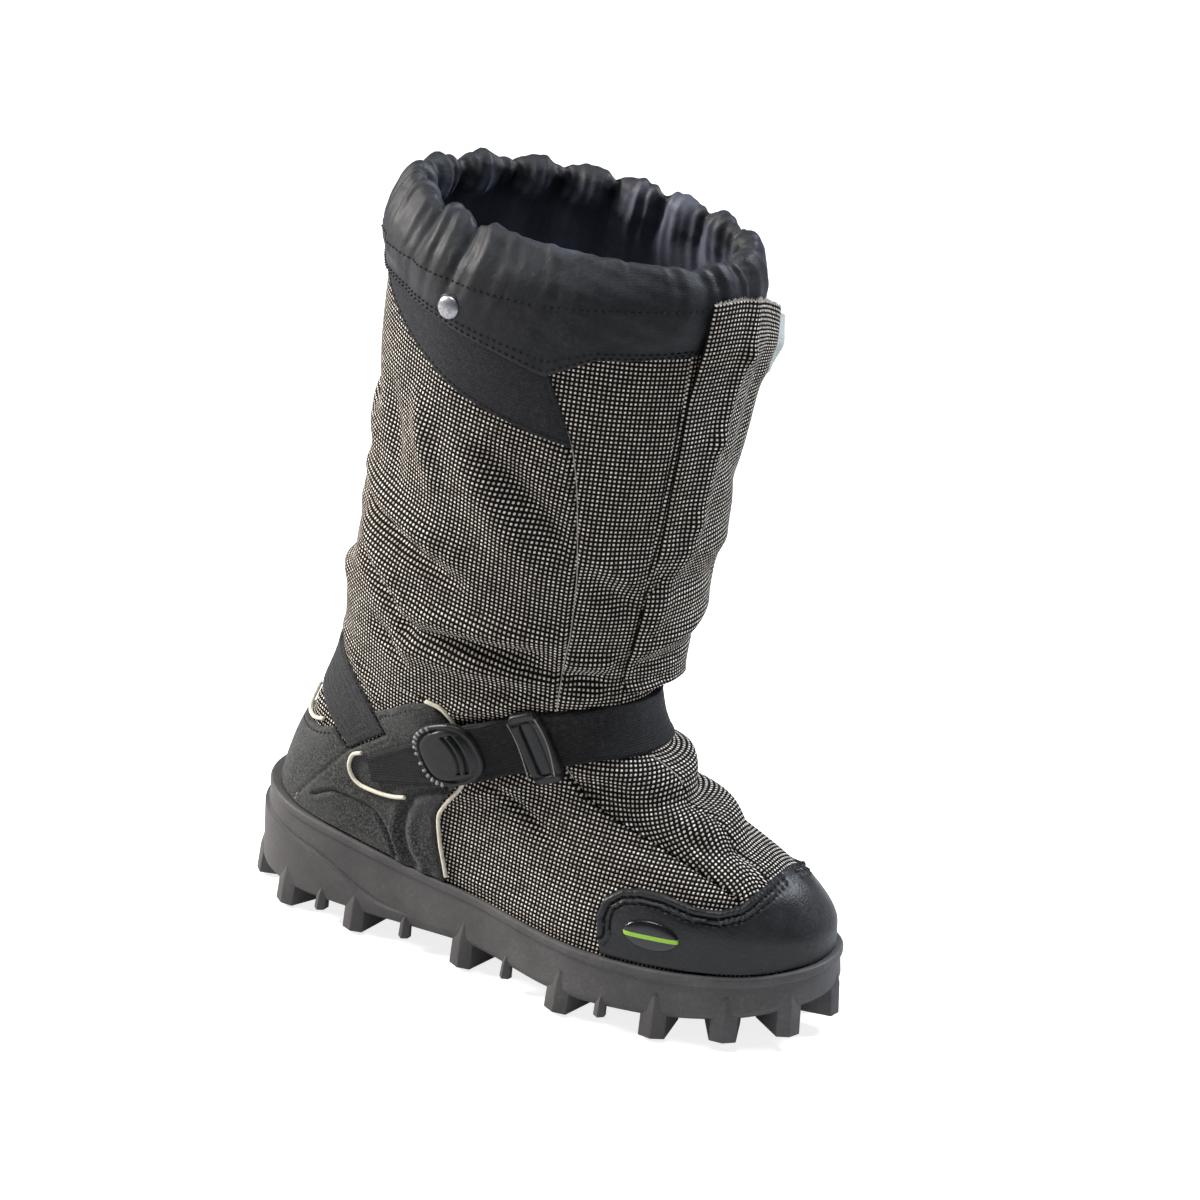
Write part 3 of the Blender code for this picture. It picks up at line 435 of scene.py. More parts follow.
def dottedFabric():
    look = {"ground": (0.006, 0.006, 0.006), "groundWorn": (0.014, 0.012, 0.011),
            "dotLow": (0.52, 0.46, 0.39), "dotHigh": (1.0, 0.93, 0.83), "pitch": 2.2, "size": 0.258}
    made, tree, shader, place = startMaterial("dotted fabric", 0.9, specular=0.04)
    cloth = clothCoordinates(tree)
    dots = placeGroup(tree, "dots", cloth, Pitch=look["pitch"], Size=look["size"])
    weave = placeGroup(tree, "weave", cloth, Across=0.6, Along=0.6)
    dust = placeGroup(tree, "dust", place, Amount=0.15)
    ground = mixColour(tree, weave["Thread"], look["ground"], look["groundWorn"])
    ground = mixColour(tree, dust["Mask"], ground, dustColours["dotted"])
    tone = mixColour(tree, dots["Tone"], look["dotLow"], look["dotHigh"])
    wire(tree, mixColour(tree, dots["Dot"], ground, tone), shader.inputs["Base Color"])
    height = mathNode(tree, "ADD", dots["Height"], mathNode(tree, "MULTIPLY", weave["Height"], 0.12))
    addBump(tree, shader, height, 0.0005, 0.8)
    return made


def rubber(name, colour, pale, roughness, scale=900.0, grain=0.00012, dust=0.3, specular=0.5):
    made, tree, shader, place = startMaterial(name, roughness, specular=specular)
    fine = placeGroup(tree, "grain", place, Scale=scale)
    dusty = placeGroup(tree, "dust", place, Amount=dust)
    base = mixColour(tree, rangeNode(tree, fine["Mottle"], 0.3, 0.7), colour, pale)
    wire(tree, mixColour(tree, dusty["Mask"], base, dustColours["rubber"]), shader.inputs["Base Color"])
    wire(tree, rangeNode(tree, fine["Mottle"], 0.25, 0.75, roughness - 0.07, roughness + 0.08),
         shader.inputs["Roughness"])
    addBump(tree, shader, fine["Height"], grain, 0.7)
    return made


def suede():
    look = {"dark": (0.014, 0.014, 0.014), "light": (0.078, 0.079, 0.077), "nap": 1500.0}
    made, tree, shader, place = startMaterial("counter suede", 0.9, sheen=0.12, specular=0.15)
    fine = placeGroup(tree, "grain", place, Scale=look["nap"])
    dusty = placeGroup(tree, "dust", place, Amount=0.35)
    speck = rangeNode(tree, noiseNode(tree, place, 1000.0, 2.0, 0.7), 0.42, 0.64)
    patches = rangeNode(tree, fine["Mottle"], 0.35, 0.7, 0.0, 0.5)
    base = mixColour(tree, mathNode(tree, "MAXIMUM", speck, patches), look["dark"], look["light"])
    wire(tree, mixColour(tree, dusty["Mask"], base, dustColours["suede"]), shader.inputs["Base Color"])
    addBump(tree, shader, fine["Height"], 0.00025, 0.8)
    return made


def nylon():
    # "inside" is painted light: a lighter, bluish colour for the collar's inner face past the rim
    look = {"dark": (0.005, 0.0052, 0.006), "light": (0.014, 0.015, 0.019),
            "inside": (0.10, 0.107, 0.138), "paintedLightRange": (56.0, 76.0)}
    made, tree, shader, place = startMaterial("collar nylon", 0.46, sheen=0.06, sheenRoughness=0.4,
                                              sheenTint=(0.72, 0.78, 1.0), specular=0.3)
    cloth = clothCoordinates(tree)
    weave = placeGroup(tree, "weave", cloth, Across=0.7, Along=0.7)
    crumple = noiseNode(tree, place, 90.0, 5.0, 0.55)
    split = addNode(tree, "ShaderNodeSeparateXYZ")
    wire(tree, cloth, split.inputs[0])
    within = rangeNode(tree, split.outputs["Y"], *look["paintedLightRange"])   # past the rim the inner face is painted lighter, as painted light falling into the mouth
    base = mixColour(tree, weave["Thread"], look["dark"], look["light"])
    # painted light: mixes the inner face towards the lighter inside colour
    base = mixColour(tree, within, base, look["inside"])
    dusty = placeGroup(tree, "dust", place, Amount=0.18)
    wire(tree, mixColour(tree, dusty["Mask"], base, dustColours["nylon"]), shader.inputs["Base Color"])
    wire(tree, rangeNode(tree, crumple, 0.3, 0.7, 0.42, 0.58), shader.inputs["Roughness"])
    under = addBump(tree, shader, crumple, 0.0022, 0.45)
    addBump(tree, shader, weave["Height"], 0.00008, 0.6, under)
    return made


def plainCloth(name, dark, light, across, along, roughness=0.85, depth=0.00015, sheen=0.04,
               sheenTint=(1, 1, 1)):
    made, tree, shader, place = startMaterial(name, roughness, sheen=sheen, specular=0.13,
                                              sheenTint=sheenTint)
    cloth = clothCoordinates(tree)
    weave = placeGroup(tree, "weave", cloth, Across=across, Along=along)
    dusty = placeGroup(tree, "dust", place, Amount=0.25)
    speck = rangeNode(tree, noiseNode(tree, place, 1100.0, 2.0), 0.35, 0.7)
    thread = mathNode(tree, "MULTIPLY", weave["Thread"], mathNode(tree, "ADD", speck, 0.5))
    base = mixColour(tree, thread, dark, light)
    wire(tree, mixColour(tree, dusty["Mask"], base, dustColours["cloth"]), shader.inputs["Base Color"])
    addBump(tree, shader, weave["Height"], depth, 0.8)
    return made


def metal(name, colour, roughness):
    made, tree, shader, place = startMaterial(name, roughness, metallic=1.0)
    patches = noiseNode(tree, place, 700.0, 3.0)
    wire(tree, mixColour(tree, rangeNode(tree, patches, 0.35, 0.7), colour,
                         tuple(0.62 * c for c in colour)), shader.inputs["Base Color"])
    wire(tree, rangeNode(tree, patches, 0.3, 0.7, roughness, roughness + 0.18),
         shader.inputs["Roughness"])
    addBump(tree, shader, patches, 0.0001, 0.4)
    return made


def creamPiping():
    look = {"clean": (0.74, 0.69, 0.55), "soiled": (0.46, 0.40, 0.29)}
    made, tree, shader, place = startMaterial("cream piping", 0.5, sheen=0.2, specular=0.45)
    soil = rangeNode(tree, noiseNode(tree, place, 160.0, 4.0, 0.6), 0.45, 0.75)
    ribs = noiseNode(tree, place, 2200.0)
    wire(tree, mixColour(tree, soil, look["clean"], look["soiled"]), shader.inputs["Base Color"])
    addBump(tree, shader, ribs, 0.0001, 0.5)
    return made


def badgeGloss():   # a plain green bar across a black glossy oval
    look = {"bar": (0.31, 0.60, 0.015), "ground": (0.006, 0.006, 0.007), "half": 0.0011,
            "centreZ": 0.054}
    made, tree, shader, place = startMaterial("badge gloss", 0.25, coat=0.25, coatRoughness=0.08)
    split = addNode(tree, "ShaderNodeSeparateXYZ")
    wire(tree, place, split.inputs[0])
    away = mathNode(tree, "ABSOLUTE", mathNode(tree, "SUBTRACT", split.outputs[2], look["centreZ"]))
    bar = rangeNode(tree, away, look["half"] - 0.0001, look["half"] + 0.0001, 1.0, 0.0)
    scratch = noiseNode(tree, place, 900.0, 3.0)
    wire(tree, mixColour(tree, bar, look["ground"], look["bar"]), shader.inputs["Base Color"])
    wire(tree, rangeNode(tree, scratch, 0.3, 0.8, 0.16, 0.3), shader.inputs["Roughness"])
    addBump(tree, shader, scratch, 0.00005, 0.3)
    return made


def paleTape():
    look = {"deep": (0.30, 0.33, 0.31), "loops": (0.70, 0.75, 0.72)}
    made, tree, shader, place = startMaterial("fastening tape", 0.9, sheen=0.5)
    loops = noiseNode(tree, place, 1600.0, 3.0, 0.7)
    wire(tree, mixColour(tree, rangeNode(tree, loops, 0.35, 0.65), look["deep"], look["loops"]),
         shader.inputs["Base Color"])
    addBump(tree, shader, loops, 0.0008, 1.0)
    return made


finishes = {
    "dotted": dottedFabric(),
    "lining": plainCloth("shaft lining", (0.035, 0.038, 0.048), (0.085, 0.091, 0.115), 1.0, 1.0),
    "sole": rubber("sole rubber", (0.068, 0.064, 0.064), (0.094, 0.089, 0.089), 0.55, scale=800.0,
                   grain=0.00016, dust=0.25, specular=0.3),
    "cap": rubber("cap rubber", (0.009, 0.0092, 0.010), (0.018, 0.0185, 0.021), 0.44, scale=1000.0,
                  grain=0.00022, dust=0.12, specular=0.38),
    "suede": suede(),
    "nylon": nylon(),
    "plain": plainCloth("plain fabric", (0.012, 0.012, 0.014), (0.040, 0.041, 0.046), 0.55, 0.55,
                        depth=0.00008),
    "webbing": plainCloth("webbing", (0.010, 0.010, 0.011), (0.055, 0.056, 0.058), 1.25, 1.9,
                          roughness=0.72, depth=0.0003),
    "strap": plainCloth("strap face", (0.006, 0.006, 0.006), (0.026, 0.026, 0.027), 1.3, 1.0,
                        roughness=0.62, depth=0.0003, sheen=0.02, sheenTint=(0.8, 0.85, 1.0)),
    "plastic": rubber("black plastic", (0.009, 0.009, 0.009), (0.015, 0.015, 0.016), 0.36,
                      scale=1400.0, grain=0.00005, dust=0.1, specular=0.35),
    # worn pale ribs of the pull tab, and the painted highlights on the buckle's edges
    "ticks": rubber("scuffed plastic and painted highlight", (0.16, 0.16, 0.155), (0.30, 0.30, 0.29), 0.5, scale=1400.0,
                    grain=0.00006, dust=0.3),
    "cream": creamPiping(),
    "thread": plainCloth("black thread", (0.003, 0.003, 0.003), (0.02, 0.02, 0.02), 0.4, 0.4,
                         depth=0.00005),
    # pale threads, and the painted highlights along the upper's seams
    "paleThreadAndHighlight": plainCloth("pale thread and painted highlight", (0.35, 0.33, 0.28), (0.6, 0.57, 0.5), 0.4, 0.4,
                             depth=0.00005),
    "steel": metal("stud steel", (0.72, 0.72, 0.72), 0.25),
    "snap": metal("snap metal", (0.42, 0.43, 0.45), 0.32),
    "foam": plainCloth("insole felt", (0.02, 0.02, 0.02), (0.05, 0.05, 0.05), 1.2, 1.2),
    "badge": badgeGloss(),
    "tape": paleTape(),
}
print("materials ready:", len(finishes))


# Mesh helpers

def makePiece(name, points, faces, finish, stands=(), cloth=None, sharp=None):
    mesh = bpy.data.meshes.new(name)
    mesh.from_pydata(toMetres(points).tolist(), [], [list(map(int, face)) for face in faces])
    mesh.materials.append(finishes[finish])
    if cloth is not None:   # one flat place for each vertex, or one for each corner
        layer = mesh.uv_layers.new(name="cloth")
        cloth = np.asarray(cloth, float)
        if len(cloth) != len(mesh.loops):
            corners = np.empty(len(mesh.loops), int)
            mesh.loops.foreach_get("vertex_index", corners)
            cloth = cloth[corners]
        layer.data.foreach_set("uv", cloth.ravel())
    mesh.shade_smooth()
    if sharp is not None:
        mesh.set_sharp_from_angle(angle=math.radians(sharp))
    mesh.validate()
    made = bpy.data.objects.new(name, mesh)
    bpy.context.scene.collection.objects.link(made)
    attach(made, "root")
    if stands:
        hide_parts(*stands)


def gridFaces(rows, columns, wrap=False):
    i, j = np.meshgrid(np.arange(rows - 1), np.arange(columns if wrap else columns - 1), indexing="ij")
    following = (j + 1) % columns
    quads = np.stack([i * columns + j, i * columns + following, (i + 1) * columns + following,
                      (i + 1) * columns + j], axis=-1)
    return quads.reshape(-1, 4)


quadCorners = ((0, 0), (0, 1), (1, 1), (1, 0))   # row and column steps round one face of a grid


def lineDistance(x, z, marks, closed=False):   # distance in the side view to a run of marks
    marks = np.asarray(marks, float)
    ends = np.roll(marks, -1, axis=0) if closed else marks[1:]
    best = np.full(np.shape(x), 1e9)
    for (ax, az), (bx, bz) in zip(marks if closed else marks[:-1], ends):
        dx, dz = bx - ax, bz - az
        t = np.clip(((x - ax) * dx + (z - az) * dz) / (dx * dx + dz * dz + 1e-9), 0, 1)
        best = np.minimum(best, np.hypot(x - ax - t * dx, z - az - t * dz))
    return best


def insideDistance(x, z, outline):   # positive inside the outline
    inside = np.zeros(np.shape(x), bool)
    for (ax, az), (bx, bz) in zip(outline, np.roll(outline, -1, axis=0)):
        if az == bz:
            continue
        crossing = ((az > z) != (bz > z)) & (x < (bx - ax) * (z - az) / (bz - az) + ax)
        inside ^= crossing
    return np.where(inside, 1, -1) * lineDistance(x, z, outline, True)


def trueDistance(distance, points):   # from side-view distance to distance over the surface
    di, dj = np.gradient(distance)
    pi, pj = np.gradient(points, axis=0), np.gradient(points, axis=1)
    e, g, f = (pi * pi).sum(-1), (pj * pj).sum(-1), (pi * pj).sum(-1)
    slope = (g * di ** 2 - 2 * f * di * dj + e * dj ** 2) / np.maximum(e * g - f * f, 1e-9)
    return distance / np.clip(np.sqrt(np.maximum(slope, 0)), 0.35, 1.2)


def edgeRound(distance, radius):   # 0 at the edge, 1 from radius inwards
    t = 1 - np.clip(distance / radius, 0, 1)
    return np.sqrt(np.maximum(1 - t * t, 0))


# A closed piece over the form: outline trims it, hole opens it, inner and outer say how far
# its two faces stand off.
def trimmedPiece(name, levels, shares, outline, inner, outer, finish, slot, stands=(),
                 flat=None, hole=None, sharp=55):
    rows, columns = np.arange(len(levels)), np.arange(len(shares))
    level, share = np.meshgrid(levels, shares, indexing="ij")
    points, _ = onForm(level, share)
    away = insideDistance(points[..., 0], points[..., 2], outline)
    if hole is not None:
        away = np.minimum(away, -insideDistance(points[..., 0], points[..., 2], hole))
    di, dj = np.gradient(away)
    size = di ** 2 + dj ** 2 + 1e-9
    moveI, moveJ = -away * di / size, -away * dj / size
    near = (np.abs(moveI) <= 0.5) & (np.abs(moveJ) <= 0.5)
    level = np.interp(rows[:, None] + np.where(near, moveI, 0), rows, levels)
    share = np.interp(columns[None, :] + np.where(near, moveJ, 0), columns, shares)
    points, out = onForm(level, share)
    away = np.where(near, 0.0, away)
    kept = near | (away > 0)
    over = trueDistance(np.maximum(away, 0), points)
    rise = outer(over, points, out)
    low = inner(points) if callable(inner) else np.full(away.shape, float(inner))
    outside, inside = points + out * rise[..., None], points + out * low[..., None]
    quads = gridFaces(len(levels), len(shares))
    good = kept.ravel()[quads]
    faces = [q for q in quads[good.all(axis=1)]]
    for q, g in zip(quads[good.sum(axis=1) == 3], good[good.sum(axis=1) == 3]):
        faces.append(q[g])
    used = np.unique(np.concatenate([np.asarray(f) for f in faces]))
    number = np.full(away.size, -1)
    number[used] = np.arange(len(used))
    faces = [tuple(number[f]) for f in faces]
    count = len(used)
    edges = {}
    for face in faces:
        for a, b in zip(face, face[1:] + face[:1]):
            if (b, a) in edges:
                del edges[(b, a)]
            else:
                edges[(a, b)] = True
    whole = faces + [tuple(count + c for c in reversed(face)) for face in faces]
    whole += [(b, a, count + a, count + b) for a, b in edges]
    vertices = np.concatenate([outside.reshape(-1, 3)[used], inside.reshape(-1, 3)[used]])
    cloth = None
    if flat is not None:
        spread = np.stack(flat(points, over, level, share), axis=-1).reshape(-1, 2)[used]
        cloth = np.concatenate([spread, spread])
    makePiece(name, vertices, whole, finish, stands, cloth, sharp)


def sweepTube(points, radius, sides=10, flatten=1.0, outs=None):
    points = np.asarray(points, float)
    along = np.gradient(points, axis=0)
    along /= np.linalg.norm(along, axis=1, keepdims=True)
    if outs is None:
        outs = np.tile((0.0, 0.0, 1.0), (len(points), 1))
    across = np.cross(along, outs)
    across /= np.linalg.norm(across, axis=1, keepdims=True) + 1e-9
    up = np.cross(across, along)
    turn = np.linspace(0, 2 * math.pi, sides, endpoint=False)
    size = np.full(len(points), radius) if np.ndim(radius) == 0 else np.asarray(radius)
    ring = (across[:, None] * np.cos(turn)[None, :, None]
            + up[:, None] * np.sin(turn)[None, :, None] * flatten) * size[:, None, None]
    vertices = (points[:, None] + ring).reshape(-1, 3)
    faces = [tuple(f[::-1]) for f in gridFaces(len(points), sides, wrap=True)]
    faces.append(tuple(range(sides)))
    faces.append(tuple((len(points) - 1) * sides + k for k in reversed(range(sides))))
    return vertices, faces


class Batch:   # many small shapes gathered into one mesh
    def __init__(self):
        self.points, self.faces, self.count = [], [], 0

    def add(self, points, faces):
        self.points.append(np.asarray(points, float))
        self.faces += [tuple(self.count + c for c in face) for face in faces]
        self.count += len(points)

    def make(self, name, finish, slot, sharp=None, stands=()):
        points = np.concatenate(self.points)
        makePiece(name, points, self.faces, finish, stands, points[:, [0, 2]], sharp)


def stitchRow(batch, points, outs, length=2.4, gap=1.1, radius=0.42, start=0.6):
    run = np.concatenate([[0], np.cumsum(np.linalg.norm(np.diff(points, axis=0), axis=1))])
    at = start
    while at + length < run[-1]:
        stops = at + np.linspace(0, 1, 5) * length
        line = np.stack([np.interp(stops, run, points[:, axis]) for axis in range(3)], -1)
        out = np.stack([np.interp(stops, run, outs[:, axis]) for axis in range(3)], -1)
        line += out * np.array([-0.35, 0.1, 0.2, 0.1, -0.35])[:, None]
        sizes = radius * np.array([0.35, 0.95, 1.0, 0.95, 0.35])
        batch.add(*sweepTube(line, sizes, 6, 0.8, out))
        at += length + gap


def lathe(profile, centre, axis, count=40):   # a turned shape from (radius, height) marks
    axis = np.array(axis, float) / np.linalg.norm(axis)
    side = np.cross(axis, (0.3, 0.2, 1.0) if abs(axis[2]) < 0.8 else (1.0, 0.2, 0.3))
    side /= np.linalg.norm(side)
    other = np.cross(axis, side)
    turn = np.linspace(0, 2 * math.pi, count, endpoint=False)
    ring = side * np.cos(turn)[:, None] + other * np.sin(turn)[:, None]
    points = np.concatenate([np.array(centre) + ring * r + axis * h for r, h in profile])
    faces = [tuple(f) for f in gridFaces(len(profile), count, wrap=True)]
    faces.append(tuple(reversed(range(count))))
    faces.append(tuple((len(profile) - 1) * count + k for k in range(count)))
    return points, faces


def patchGrid(outline, side, spacing, margin=1.5):   # levels and shares that span an outline
    places = np.array([locate(x, z, side) for x, z in outline])
    level, share = places.min(axis=0), places.max(axis=0)
    lowLevel, highLevel, lowShare, highShare = level[0], share[0], level[1], share[1]
    corners, _ = onForm(np.array([lowLevel, highLevel, lowLevel]),
                        np.array([lowShare, lowShare, highShare]))
    tall, wide = (np.linalg.norm(corners[k] - corners[0]) for k in (1, 2))
    addLevel = (highLevel - lowLevel) * margin / tall
    addShare = (highShare - lowShare) * margin / wide
    return (np.linspace(lowLevel - addLevel, highLevel + addLevel, int(tall / spacing) + 6),
            np.linspace(lowShare - addShare, highShare + addShare, int(wide / spacing) + 6))


def turnedEllipse(place, tilt, count, power=2.0):
    x, z, length, width = place
    turn = 2 * math.pi * (np.arange(count) + 0.5) / count
    a = np.sign(np.cos(turn)) * np.abs(np.cos(turn)) ** (2 / power) * length / 2
    b = np.sign(np.sin(turn)) * np.abs(np.sin(turn)) ** (2 / power) * width / 2
    return np.stack([x + a * math.cos(tilt) - b * math.sin(tilt),
                     z + a * math.sin(tilt) + b * math.cos(tilt)], axis=-1)


def turnedPlace(points, place, tilt):   # along and across a tilted piece, from its middle
    dx, dz = points[..., 0] - place[0], points[..., 2] - place[1]
    return (dx * math.cos(tilt) + dz * math.sin(tilt), -dx * math.sin(tilt) + dz * math.cos(tilt))


# Side-view outlines and lines, shared by the pieces that meet along them
lines = {
    "capEdge": ((223, 50), (222, 58), (224, 67), (231, 73), (240, 75), (252, 74.5), (268, 71),
                (278, 71), (286, 74), (292, 82), (296, 100)),
    "counterEdge": ((-20, 98), (25, 98), (45, 101), (55.5, 105.5), (67.5, 97.6), (91.8, 115),
                    (83.5, 124.5), (95, 131), (108, 139), (117, 142), (124, 141), (131, 136),
                    (137.5, 124), (139.5, 112), (135, 100), (126.5, 88), (123, 79), (125, 66),
                    (128, 54), (129.5, 49.5)),
    "heelStrapLow": ((-20, 122), (33, 120), (56, 106.5), (68, 98.5)),
    "heelStrapHigh": ((91, 115.5), (82, 124.5), (65, 137.5), (48, 146.5), (30, 151), (-20, 152)),
    "ankleLow": ((79, 84.6), (117, 95), (147, 106.5), (188, 124), (205, 130), (260, 138)),
    "ankleHigh": ((260, 162), (212, 158), (202, 157.5), (179, 153), (142, 139), (119, 124.5),
                  (79, 98.5)),
    "panelLow": ((75, 353), (86, 343), (101, 333), (117, 325), (133, 317), (149, 311), (174, 304),
                 (194, 299), (190, 313)),
    "hem": ((50, 359), (85, 355.5), (127, 348), (157, 340), (181, 333), (202, 344), (240, 347)),
    "heelPiping": ((33, 115.5), (28.5, 110), (27.5, 104.5), (31, 101.8), (38, 102.4), (43, 104.2),
                   (47, 105.8)),
    "slotPiping": ((78, 100.4), (72.5, 97.5), (70.5, 91), (73.5, 85), (80, 82), (89, 81.6),
                   (98, 82.4), (106, 84.6)),
    "counterPiping": ((118.5, 144.3), (126, 143), (133, 137.4), (140, 125), (142, 112),
                      (137.4, 99.5), (129, 87.5), (125.4, 79), (127.4, 66.3), (130.2, 55),
                      (132, 47.5)),
    "strapAngle": math.radians(24),
}


def aboveLip(first, last, gap=0.3, step=6.0):
    stops = np.linspace(first, last, max(2, int(abs(last - first) / step) + 1))
    return [(float(x), float(soleHeight("lip", x)) + gap) for x in stops]


def hemHeight(x):
    hem = np.array(lines["hem"], float)
    return np.interp(x, hem[:, 0], hem[:, 1])


outlines = {
    "cap": np.array(aboveLip(226, 340) + list(reversed(lines["capEdge"])), float),
    "counter": np.array(list(lines["counterEdge"]) + aboveLip(131.5, -20), float),
    "heelStrap": np.array(lines["heelStrapLow"] + lines["heelStrapHigh"], float),
    "ankleStrap": np.array(lines["ankleLow"] + lines["ankleHigh"], float),
    "panel": np.array(list(lines["panelLow"]) + [(x, float(hemHeight(x)) + 4.0) for x in
                                                 (181, 170, 157, 142, 127, 106, 85)], float),
}

upperLook = {
    "rows": 236,
    "levels": (-0.05, 1.005),
    "panelColumns": (112, 44, 66, 112),   # back of the outer side, side gore, front, inner side
    # where the seams run round the front: height, then Y of the side, flap and inner seam
    "seams": ((20, -18, 5, 50), (45, -15, 3, 50), (77, -17, 0, 46), (92, -23, 0, 42),
              (106, -30, 0, 38), (133, -36, -8, 36), (165, -39, -17, 40), (196, -45, -21, 46),
              (242, -53, -27, 53), (298, -60, -28, 60), (330, -66.5, -26, 64), (380, -69, -26, 66)),
    "seamDepth": (1.5, 0.3, 1.5),
    "seamWidth": 1.4,
    # levels the flat cloth is rolled out from, and the one where its two halves meet
    "lowRow": (0.03, 0.40, 0.40, 0.03), "highRow": 0.80, "ankle": 0.47,
    "clothTilt": (9, 2, 0, -4),   # how far each panel's rows fall towards the toe, in degrees
    "foldSize": 2.35,
    # soft folds: share round the upper and height of both ends, width, height of the fold
    "folds": (
        (.278, 107, .305, 86, 5.5, -1.5), (.358, 122, .408, 107, 5.5, -1.5),
        (.408, 107, .435, 82, 4.5, -0.9), (.350, 133, .418, 130, 4.0, -0.9),
        (.270, 286, .350, 250, 9, -2.6), (.235, 284, .330, 232, 13, 2.2),
        (.090, 238, .250, 216, 6.5, -2.8), (.080, 252, .240, 231, 9, 2.4),
        (.110, 208, .205, 182, 6, -2.2), (.100, 222, .190, 200, 8, 1.8),
        (.195, 193, .370, 196, 8, 2.4), (.200, 181, .372, 183, 5.5, -2.4),
        (.190, 170, .390, 171, 6, 1.6), (.150, 174, .200, 161, 5, -1.6),
        (.180, 302, .205, 268, 9, 2.0), (.125, 300, .150, 262, 9, -1.6),
        (.300, 318, .345, 290, 8, 1.2), (.385, 232, .445, 212, 8, -1.8),
        (.370, 246, .430, 228, 9, 1.2), (.350, 176, .440, 172, 4.5, -1.6),
        (.370, 184, .450, 182, 6, 1.6), (.440, 119, .600, 123, 6.5, 2.4),
        (.450, 111, .590, 114, 4.0, -1.6), (.460, 102, .600, 104, 6.5, 2.2),
        (.450, 93, .560, 95, 4.5, -1.2), (.380, 121, .440, 112, 5, -1.3),
        (.330, 92, .400, 84, 8, 1.0), (.300, 72, .380, 66, 9, -0.9),
        (.640, 288, .720, 256, 10, -2.2), (.680, 300, .780, 250, 13, 2.0),
        (.770, 246, .900, 226, 8, -2.4), (.760, 262, .905, 240, 9, 2.2),
        (.800, 212, .890, 186, 7, -2.0), (.640, 194, .800, 192, 8, 2.2),
        (.640, 182, .800, 180, 5.5, -2.0), (.600, 222, .690, 236, 8, -1.6),
        (.600, 96, .690, 90, 8, 1.2), (.930, 250, .990, 214, 9, -2.0),
        (.960, 262, 1.05, 230, 10, 2.2), (.975, 210, 1.06, 200, 7, -1.8),
        (.950, 186, 1.06, 190, 8, 2.0), (.850, 306, .930, 280, 10, 1.6),
        (.020, 318, .070, 286, 9, -1.6), (.020, 292, .090, 270, 10, 1.6),
    ),
    "bulge": 2.6,                # the cloth swells just above and below the strap
    # the folds fade out over this many millimetres before each part that lies on the cloth
    "calmRound": (("ankleStrap", 4.0), ("heelStrap", 4.0), ("counter", 6.0), ("cap", 5.0),
                  ("panel", 5.0)),
}


def seamShares():   # share of each seam on every row of the form
    rows = columnsOf(("z", "side", "flap", "inner"), upperLook["seams"])
    half, found = shoe["formCount"] // 2, []
    for name, direction in (("side", -1), ("flap", -1), ("inner", 1)):
        shares = []
        for loop in form:
            order = (half + direction * np.arange(0, int(0.32 * shoe["formCount"]))) % shoe["formCount"]
            wanted = curveThrough(rows["z"], rows[name], loop[order, 2])
            past = (loop[order, 1] - wanted) * direction > 0
            first = int(past.argmax()) if past.any() else len(order) - 1
            shares.append((half + direction * first) / shoe["formCount"])
        shares = np.convolve(np.pad(shares, 4, mode="edge"), np.ones(9) / 9, mode="valid")
        found.append(shares)
    return found


def foldField(share, points, perimeter):
    total = np.zeros(share.shape)
    for shareA, zA, shareB, zB, width, size in upperLook["folds"]:
        for shift in (-1, 0, 1):
            ax = (shareA + shift - share) * perimeter
            dx, dz = (shareB - shareA) * perimeter, zB - zA
            t = np.clip((-ax * dx + (points[..., 2] - zA) * dz) / (dx * dx + dz * dz), 0, 1)
            away = np.hypot(ax + t * dx, points[..., 2] - zA - t * dz)
            taper = 0.35 + 0.65 * np.sin(math.pi * np.clip(t, 0.04, 0.96)) ** 0.6
            total += upperLook["foldSize"] * size * taper * np.exp(-(away / (0.85 * width)) ** 2)
    return total


def clothShift(points, share):   # how far the cloth stands off its plain form
    x, z = points[..., 0], points[..., 2]
    around = np.linalg.norm(np.diff(points, axis=1, append=points[:, :1]), axis=2)
    perimeter = around.sum(axis=1)[:, None] * np.ones_like(x)
    shift = foldField(share, points, perimeter)
    turn = 2 * math.pi * share
    shift += 0.35 * np.sin(7 * turn + z / 19) * np.sin(z / 23 + 1.3) + 0.25 * np.sin(13 * turn - z / 11)
    swell = np.zeros_like(x)
    for name, reach in upperLook["calmRound"]:
        away = -insideDistance(x, z, outlines[name])
        free = ease(away, 0.2, reach)
        shift *= free
        swell *= free
        if name == "ankleStrap":
            swell += upperLook["bulge"] * bump(away, 6.5, 4.5) * (away > 0) * ease(x, 95, 130)
        if name == "heelStrap":
            swell += 1.2 * bump(away, 6.0, 4.0) * (away > 0) * (z > 130)
    shift += swell
    shift *= ease(z - soleHeight("lip", x), 1.0, 9.0)
    shift += 1.1 * bump(z - soleHeight("lip", x), 7.0, 5.0) * ease(x, 133, 150) * (1 - ease(x, 205, 222))
    shift *= 1 - ease(z - hemHeight(x), -7.0, 0.0)
    shift += 1.8 * bump(np.hypot(x - 36, z - 111), 0.0, 5.0)     # fills the heel loop
    flap = ease(share, .425, .445) * (1 - ease(share, .60, .62)) * ease(z, 152, 172)
    return shift * (1 - flap)


